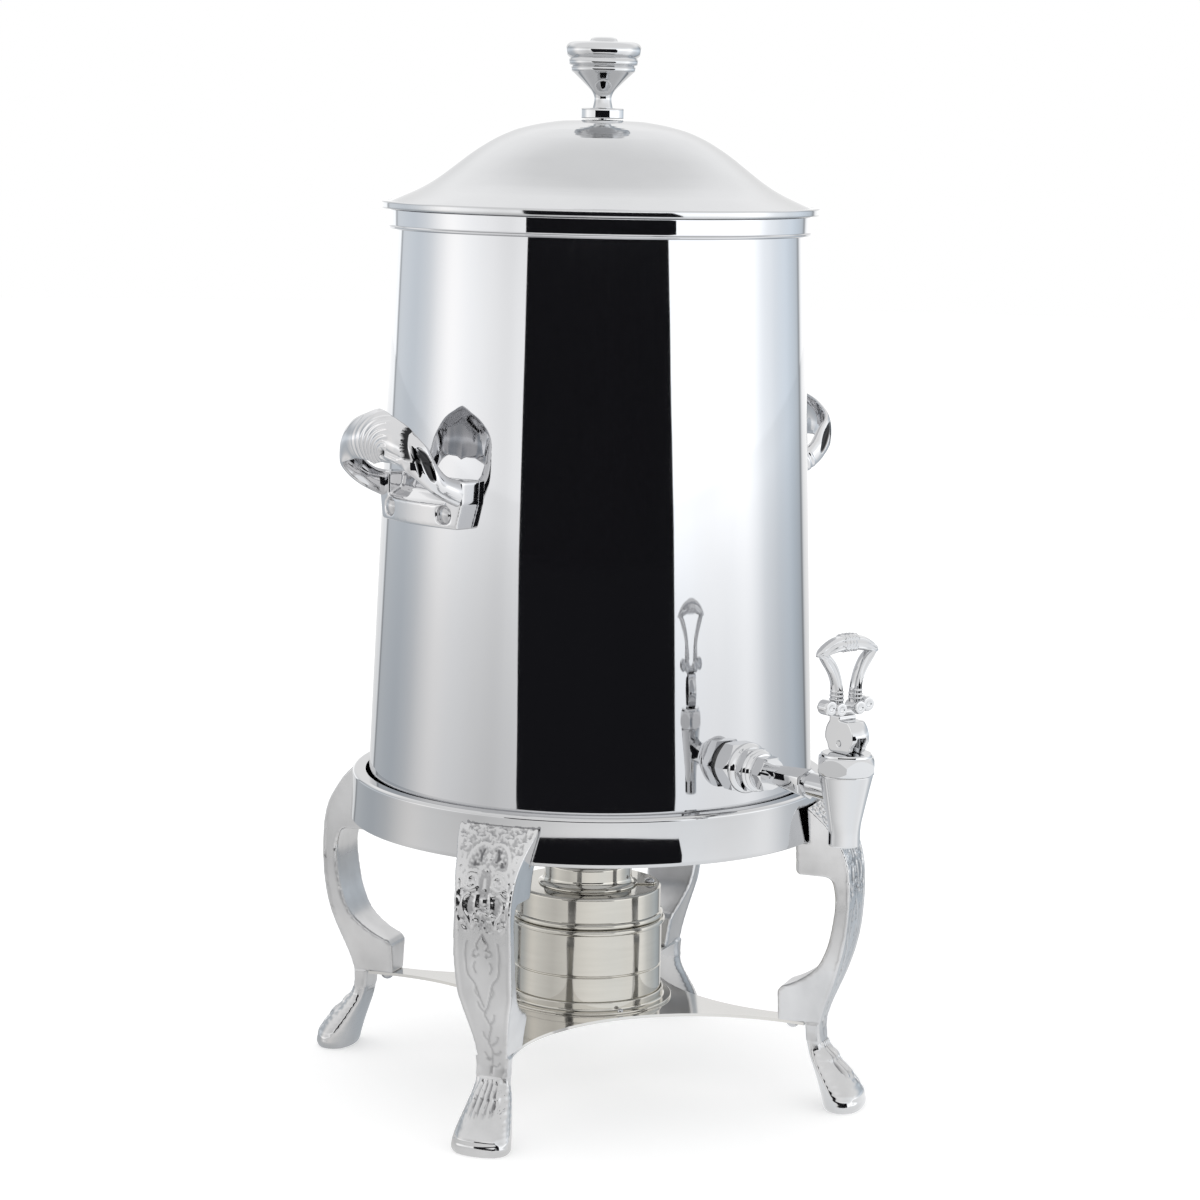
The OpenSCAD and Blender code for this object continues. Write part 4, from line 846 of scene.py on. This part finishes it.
def swept(knots, up, rings, sides, section):
    """A closed rod along knots (x, y, z, ...), whose section gives height and thickness at an angle."""
    look_ahead = 0.004
    rod = bmesh.new()
    bmesh.ops.create_cone(rod, cap_ends=True, segments=sides, radius1=1, radius2=1, depth=1)
    runs = [edge for edge in rod.edges if abs(edge.verts[0].co.z - edge.verts[1].co.z) > 0.5]
    bmesh.ops.subdivide_edges(rod, edges=runs, cuts=rings - 1, use_grid_fill=True)
    for point in rod.verts:
        share = point.co.z + 0.5
        angle = math.atan2(point.co.y, point.co.x)
        knot = along(knots, share)
        ahead = Vector(along(knots, share + look_ahead)[:3]) - Vector(along(knots, share - look_ahead)[:3])
        outward = ahead.normalized().cross(up).normalized()
        rise = outward.cross(ahead.normalized())
        high, thick = section(share, angle, knot)
        point.co = (Vector(knot[:3]) + rise * high + outward * thick) / 1000
    bmesh.ops.recalc_face_normals(rod, faces=rod.faces[:])
    return rod


def hump(offset, half):
    """A soft hump, 1 in the middle and 0 past its half width."""
    return max(0, 1 - (offset / half) ** 2) ** 2


def shell_relief(across, height):
    """Height of the ornament on the shell's face, and the shade painted into its hollows: across and height
    in mm.
    """
    scroll_across, scroll_high, ribs_end, fold_low = 13.6, 429, 17, 425
    off = math.hypot(across - scroll_across, height - scroll_high)
    rise = dark = 0
    if across < ribs_end:
        fade = between(off, 5, 7) * between(off, 34, 24) * between(across, ribs_end, 11)
        rise += 0.55 * fade * (1 - abs(math.sin(math.pi * off / 3.9)) ** 0.7 * 1.6)
        rise += 1.1 * hump(off - 4, 1.9) * between(across, ribs_end, 14)
    rise -= 2.4 * hump(off, 2.3)
    # The scroll's eye is painted dark, as shade.
    dark += 1.6 * hump(off, 2.5)
    slope = (height - scroll_high) + 0.30 * (across - 14)
    inside = between(across, 14, 17) * between(across, 31, 27)
    rise += inside * (1.2 * hump(slope + 1.5, 2.4) - 1.0 * hump(slope - 2.4, 1.6))
    fold = across - 26.4 - 0.45 * max(443 - height, 0)
    teeth = 2.9 + 0.9 * abs(math.sin(height * 1.15 + 1.1 * math.sin(height * 0.55))) + 0.06 * (height - 435)
    above = between(height, fold_low, fold_low + 2)
    gash = between(fold + teeth, 0, 0.8) * between(fold, 0, -0.6) * above
    rise += 0.7 * hump(fold - 1.6, 1.9) * above - 1.5 * gash
    return rise, dark + gash


# The scoops that flute the turns of the shell: place, reach, slant, height and width.
scoops = ((3.5, 0.74, 5.5, 2.2, 3.5), (3.12, 0.52, 12, -0.2, 2))
# Painted shade of the grip's hollows, one value for each point of the rod.
grip_painted_shade = []


def shell_section(share, angle, knot):
    """The shell's curved section: a thin blade that bulges outwards, with its ornament and the shade painted
    into its hollows.
    """
    knot_runs, face_from, face_full = 12, 0.05, 0.4
    half, thick, bulge = knot[3:6]
    half += 1.6 * max(0, 1 - abs(knot[1]) / 10) ** 1.3
    high = half * math.cos(angle)
    blade = math.sin(angle)
    depth = thick * math.copysign(abs(blade) ** 0.8, blade) + bulge * (1 - (high / half) ** 2)
    dark = 0
    if blade > face_from:
        turn_at = (share - 0.5) * knot_runs
        rise, dark = shell_relief(knot[1], knot[2] + high)
        for middle, reach, slant, level, width in scoops:
            off = abs(turn_at) - middle
            scoop = max(0, 1 - (off / reach) ** 2 - ((high - level + slant * off) / width) ** 2)
            rise -= 0.5 * width * scoop ** 0.7
            # The flutes are painted dark, as shade.
            dark += min(scoop * 3, 1)
        rise += 0.6 * hump(turn_at + 5.1, 0.14) + 0.6 * hump(turn_at + 4.8, 0.14)
        depth += rise * between(blade, face_from, face_full)
    grip_painted_shade.append(min(dark, 1))
    return high, depth


# Knots of the grip from one foot to the middle: out, across, up, half height, thickness, bulge.
half_grip = [
    (145, 36.8, 404.2, 8.2, 3.7, 0), (158, 37, 409, 7.2, 3.7, 0), (168.5, 37.3, 416.6, 7.8, 3.6, 0.4),
    (177.6, 34.2, 427.4, 10, 3.1, 1.6), (180.1, 23.9, 434.5, 12.3, 2.5, 3.7),
    (180.85, 12.1, 437.5, 14.4, 2.1, 4.1)
]
other_half = [(out, -across, *rest) for out, across, *rest in half_grip]
grip = swept(
    other_half + [(180.85, 0, 438.7, 15.7, 2, 4.2)] + half_grip[::-1],
    Vector((-0.12, 0, 1)), 340, 120, shell_section,
)
handle_turn = math.radians(4.3)
base = moved(solid_copy("handle_base_right"), Matrix.Rotation(-handle_turn, 4, "Z"))
base = cast_copy(base, 0.0006, 8)


def screw_head(side):
    """A low domed screw head, sunk into the base."""
    head_out, head_across, head_high = 0.14967, 0.0265, 0.3905
    return spun(
        [(0, -2.4), (5.5, -2.4, 0.2, 2), (5.35, -1.3, 0.7, 3), (3.6, 0, 1.6, 4), (0, 0.6)], steps=40,
        lay=Matrix.Translation((head_out, side * head_across, head_high))
        @ Matrix.Rotation(math.radians(90), 4, "Y"),
    )


all_heads = []
for name, half_turn in (("right", 0), ("left", math.pi)):
    stance = Matrix.Rotation(handle_turn + half_turn, 4, "Z")
    for pattern, part in ((base, "base"), (grip, "grip")):
        piece = made(f"handle_{part}_{name}", moved(pattern.copy(), stance), 50)
        if part == "grip":
            piece.data.attributes.new("painted_shade", "FLOAT", "POINT").data.foreach_set("value", grip_painted_shade)
        fitted(piece, "urn", handle_metal, "cast_metal", f"handle_{part}_{name}")
    all_heads += [moved(screw_head(side), stance) for side in (-1, 1)]
fitted(made("handle_screws", gathered(*all_heads)), "urn", screw_steel, "fasteners", "handle_screws")
base.free()
grip.free()

# ---- Tap -----------------------------------------------------------------------
# The tap's chromed brass pieces are screwed together through the wall: a nut, a
# coupling, a faceted arm with the spout, and a hexagonal bonnet on top.
tap_high, spout_out, bore_r = 0.237, 0.25182, 8.1
lay_tap = Matrix.Translation((0, 0, tap_high)) @ Matrix.Rotation(math.radians(90), 4, "X")
over_spout = Matrix.Translation((0, -spout_out, 0))
chrome_bright = polished("chrome_bright", (0.70, 0.705, 0.715), 0.028, 0.00002, 40)


def rounded(shape, size, past=25):
    """Breaks the sharp edges of a shape."""
    edges = [edge for edge in shape.edges if edge.calc_face_angle(0) > math.radians(past)]
    bmesh.ops.bevel(
        shape, geom=edges, offset=size, offset_type="OFFSET", segments=2, profile=0.5, affect="EDGES",
        clamp_overlap=True, material=-1,
    )
    return shape


def hexed(profile, flat, lay, first=30):
    """A turned shape with six flats milled on it."""
    shape = spun(profile, closed=True, steps=96)
    for k in range(6):
        facing = Matrix.Rotation(math.radians(60 * k + first), 3, "Z") @ Vector((1, 0, 0))
        cut = bmesh.ops.bisect_plane(
            shape, geom=shape.verts[:] + shape.edges[:] + shape.faces[:], dist=1e-7,
            plane_co=facing * flat / 1000, plane_no=facing, clear_outer=True,
        )
        rim = [part for part in cut["geom_cut"] if isinstance(part, bmesh.types.BMEdge)]
        bmesh.ops.edgeloop_fill(shape, edges=rim)
    bmesh.ops.recalc_face_normals(shape, faces=shape.faces[:])
    return moved(shape, lay)


def tap_piece(node, shape):
    """Makes a bright piece of the tap."""
    fitted(made(node, shape, 24), "urn", chrome_bright, "tap_chrome", node)


fibre = polished("gasket_fibre", (0.09, 0.09, 0.09), 0.6, 0.00005, 200, metallic=0)
gasket = turned(
    "tap_gaskets",
    [(bore_r, 143.6), (13.5, 143.9, 0.3, 2), (13.5, 146.8, 0.3, 2), (bore_r, 146.8)],
    closed=True, steps=64, lay=lay_tap,
)
fitted(gasket, "urn", fibre, "gasket", "tap_gaskets")
nut = hexed(
    [(bore_r, 146.8), (14.2, 146.8), (16.5, 148.6), (16.5, 156.2), (14.2, 158.3), (bore_r, 158.3)],
    14.29, lay_tap,
)
tap_piece("collar_nut", rounded(nut, 0.0002))

# The coupling is a beaded flange, a hexagon and two more beads.
flange = [
    (bore_r, 158.4), (13.6, 158.4, 0.4, 3), (15.2, 159.2, 0.8, 4), (16.3, 161.2, 1.2, 5),
    (15.2, 163.2, 0.8, 4), (13.4, 164.2, 0.4, 3), (13.4, 165, 0.2, 2), (bore_r, 165)
]
hexagon = [
    (bore_r, 164.8), (12.6, 164.8), (14.5, 166.4), (14.5, 169.4), (13.6, 170.2), (bore_r, 170.2)
]
beads = [
    (bore_r, 170.1), (12.6, 170.1, 0.5, 3), (13.7, 171.1, 0.7, 4), (12.6, 172.2, 0.4, 3),
    (12.0, 172.6, 0.3, 2), (13.1, 173.7, 0.7, 4), (12.0, 174.8, 0.4, 3), (11.2, 175.4, 0.3, 2),
    (11.2, 176.3, 0.4, 3), (bore_r, 176.3)
]
coupling = gathered(
    spun(flange, True, 96, lay_tap), hexed(hexagon, 12.56, lay_tap), spun(beads, True, 96, lay_tap)
)
tap_piece("coupling_nut", coupling)

# The arm is a hexagonal taper round the water way, with a sloping end over the spout.
arm_thin, arm_thick, arm_length, arm_middle, end_slope = 6.5, 9.9, 36.5, 202.5, 3.5
arm = bmesh.new()
bmesh.ops.create_cone(
    arm, cap_ends=True, segments=6, radius1=arm_thin, radius2=arm_thick, depth=arm_length
)
bmesh.ops.translate(arm, verts=arm.verts[:], vec=(0, 0, arm_middle))
for point in arm.verts:
    if point.co.z > arm_middle:
        point.co.z -= end_slope * abs(point.co.x) / arm_thick
bmesh.ops.scale(arm, verts=arm.verts[:], vec=(0.001, 0.00096, 0.001))
shoulder = [(1, 176.4), (10.2, 176.4), (11.3, 177.4), (11.3, 183.2), (9.6, 184.6), (1, 184.6)]
core = [
    (0.5, 183), (6.2, 183), (6.2, 190), (6.6, 212), (6.6, 219, 1), (7.4, 222, 1), (7.4, 239), (0.5, 239)
]
spout = [
    (6, 205, 0.5, 3), (9.6, 205, 1.2, 5), (9.6, 217, 4, 5), (12.9, 233, 0.1, 2), (16.2, 248, 0.5, 3),
    (16.2, 249, 0.3, 2), (8.8, 249), (8.8, 229), (6, 229)
]
body = gathered(
    hexed(shoulder, 9.79, lay_tap), spun(core, True, 64, lay_tap),
    rounded(moved(arm, lay_tap), 0.0005), spun(spout, True, 128, over_spout)
)
tap_piece("tap_body", body)
bonnet = hexed(
    [
        (3.1, 249.1), (16.2, 249.1), (16.8, 249.3), (19.3, 252.2), (19.3, 255.6), (16.8, 259.2),
        (16.2, 260), (15.5, 260.1), (15.5, 261.3), (14.6, 262.1), (3.1, 262.1)
    ],
    16.71, over_spout, 19,
)
tap_piece("tap_bonnet", rounded(bonnet, 0.0002))

# The spring, the stem and its soft seat work inside the spout.
spring_steel = polished("spring_steel", (0.55, 0.55, 0.56), 0.2, 0.00001, 300)
rubber = polished("seat_rubber", (0.75, 0.74, 0.70), 0.5, 0.00002, 200, metallic=0)
for node, finish in (
    ("seat_cup", rubber), ("tap_locknut", chrome), ("tap_shank", chrome),
    ("valve_stem", chrome), ("lever_pin", chrome), ("knob_screw", screw_steel)
):
    coated(solids[node], finish)

# The spring's coil is copied from its solid, with a mesh of its own; its top stays under the bonnet.
spring = made("spring_coil", solid_copy("tap_spring"), 60)
fitted(spring, "urn", spring_steel, "fasteners", "tap_spring")
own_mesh(spring)

# ---- Lever ---------------------------------------------------------------------
# The lever is one chromed casting: a round slotted hub that rolls on the bonnet,
# and above it a lyre of two fluted arms on scrolled feet under a bowed top bar.
hub = cast_copy(solid_copy("lever_hub"), 0.0004, 2)
fitted(made("lever_hub", hub, 180), "lever", chrome_bright, "tap_chrome", "lever_hub")


def fluted(share, angle, knot):
    """A flat rod's section with lengthwise ridges on its faces and a ribbed wrap in the middle."""
    wrap_half, wrap_rib = 5.2, 2.6
    half, deep = knot[3:5]
    wide = half * math.copysign(abs(math.sin(angle)) ** 0.8, math.sin(angle))
    thick = deep * math.copysign(abs(math.cos(angle)) ** 0.6, math.cos(angle))
    ridge = math.cos(3 * math.pi * wide / max(half, 1))
    thick += 0.45 * math.cos(angle) * ridge * min(half / 3, 1)
    wrapped = len(knot) > 5
    if wrapped and abs(knot[0]) < wrap_half:
        swell = 1 + 0.12 + 0.07 * math.cos(math.tau * knot[0] / wrap_rib)
        wide, thick = wide * swell, thick * swell
    return thick, wide


def oval(share, angle, knot):
    """A rod's plain oval section."""
    return knot[4] * math.cos(angle), knot[3] * math.sin(angle)


# The knots of the rods, from the lyre's foot up: across, out, up, half width and half
# thickness. Those of the top bar have one number more, for its wrap.
to_front = Vector((0, 1, 0))
half_bar = [
    (24.2, 0, 37.4, 0.5, 0.8, 0), (21, 0, 38.8, 2.2, 3, 0), (16, 0, 41, 3.6, 3.8, 0),
    (9, 0, 43.2, 4.5, 4.1, 0)
]
top_bar = swept(
    [(-across, *rest) for across, *rest in half_bar] + [(0, 0, 44.1, 4.7, 4.2, 0)] + half_bar[::-1],
    to_front, 120, 48, fluted,
)
arm_knots = (
    (7.6, 0, 7, 3.4, 4), (7.4, 0, 13, 3.0, 3.9), (8.2, 0, 20, 2.7, 3.7), (10.8, 0, 27, 3, 3.7),
    (14.8, 0, 33, 3.3, 3.7), (19, 0, 37, 2.4, 3.2), (23.4, 0, 38.2, 0.7, 1.2)
)
lyre = [top_bar]
for side in (-1, 1):
    lyre_arm = [(side * across, *rest) for across, *rest in arm_knots]
    lyre.append(swept(lyre_arm, to_front, 80, 40, fluted))

    # Three bands lie round the foot of each arm.
    for k in range(3):
        across, up = side * 7.5, 10.2 + 2.4 * k
        band = [
            (across - 0.02, 0, up - 1.2, 3.2, 3.2), (across, 0, up, 4.5 - 0.35 * k, 4.9 - 0.15 * k),
            (across + 0.02, 0, up + 1.2, 3.2, 3.2)
        ]
        lyre.append(swept(band, to_front, 10, 40, oval))

    # Two scrolls, with stepped ends, lie crosswise under it.
    for middle, low, length, girth in ((7.4, 4.5, 11, 4.3), (14.8, 5.9, 9, 4.6)):
        end = length / 2
        lyre.append(spun(
            [
                (0, 0.5 - end), (1.4, 0.5 - end, 0.3, 3), (2.1, -end, 0.3, 3),
                (girth - 0.6, 0.1 - end, 0.5, 3), (girth, 1 - end, 1, 4), (girth, end - 1, 1, 4),
                (girth - 0.6, end - 0.1, 0.5, 3), (2.1, end, 0.3, 3), (1.4, end - 0.5, 0.3, 3),
                (0, end - 0.5)
            ],
            steps=40,
            lay=Matrix.Translation((side * middle / 1000, 0, low / 1000))
            @ Matrix.Rotation(math.radians(90), 4, "X"),
        ))
foot_bar = swept(
    [
        (-8, 0, 2.7, 1.8, 2.6), (-4, 0, 2.6, 2.6, 3.4), (0, 0, 2.6, 2.6, 3.6), (4, 0, 2.6, 2.6, 3.4),
        (8, 0, 2.7, 1.8, 2.6)
    ],
    to_front, 24, 32, oval,
)
lyre = gathered(*lyre, foot_bar)

# The lyre stands on the hub, a little nearer the vessel than the spout's middle.
bmesh.ops.translate(lyre, verts=lyre.verts[:], vec=(0, 0.002 - spout_out, 0.2845))
fitted(made("tap_lever", lyre, 40), "lever", chrome_bright, "tap_chrome", "tap_lever")
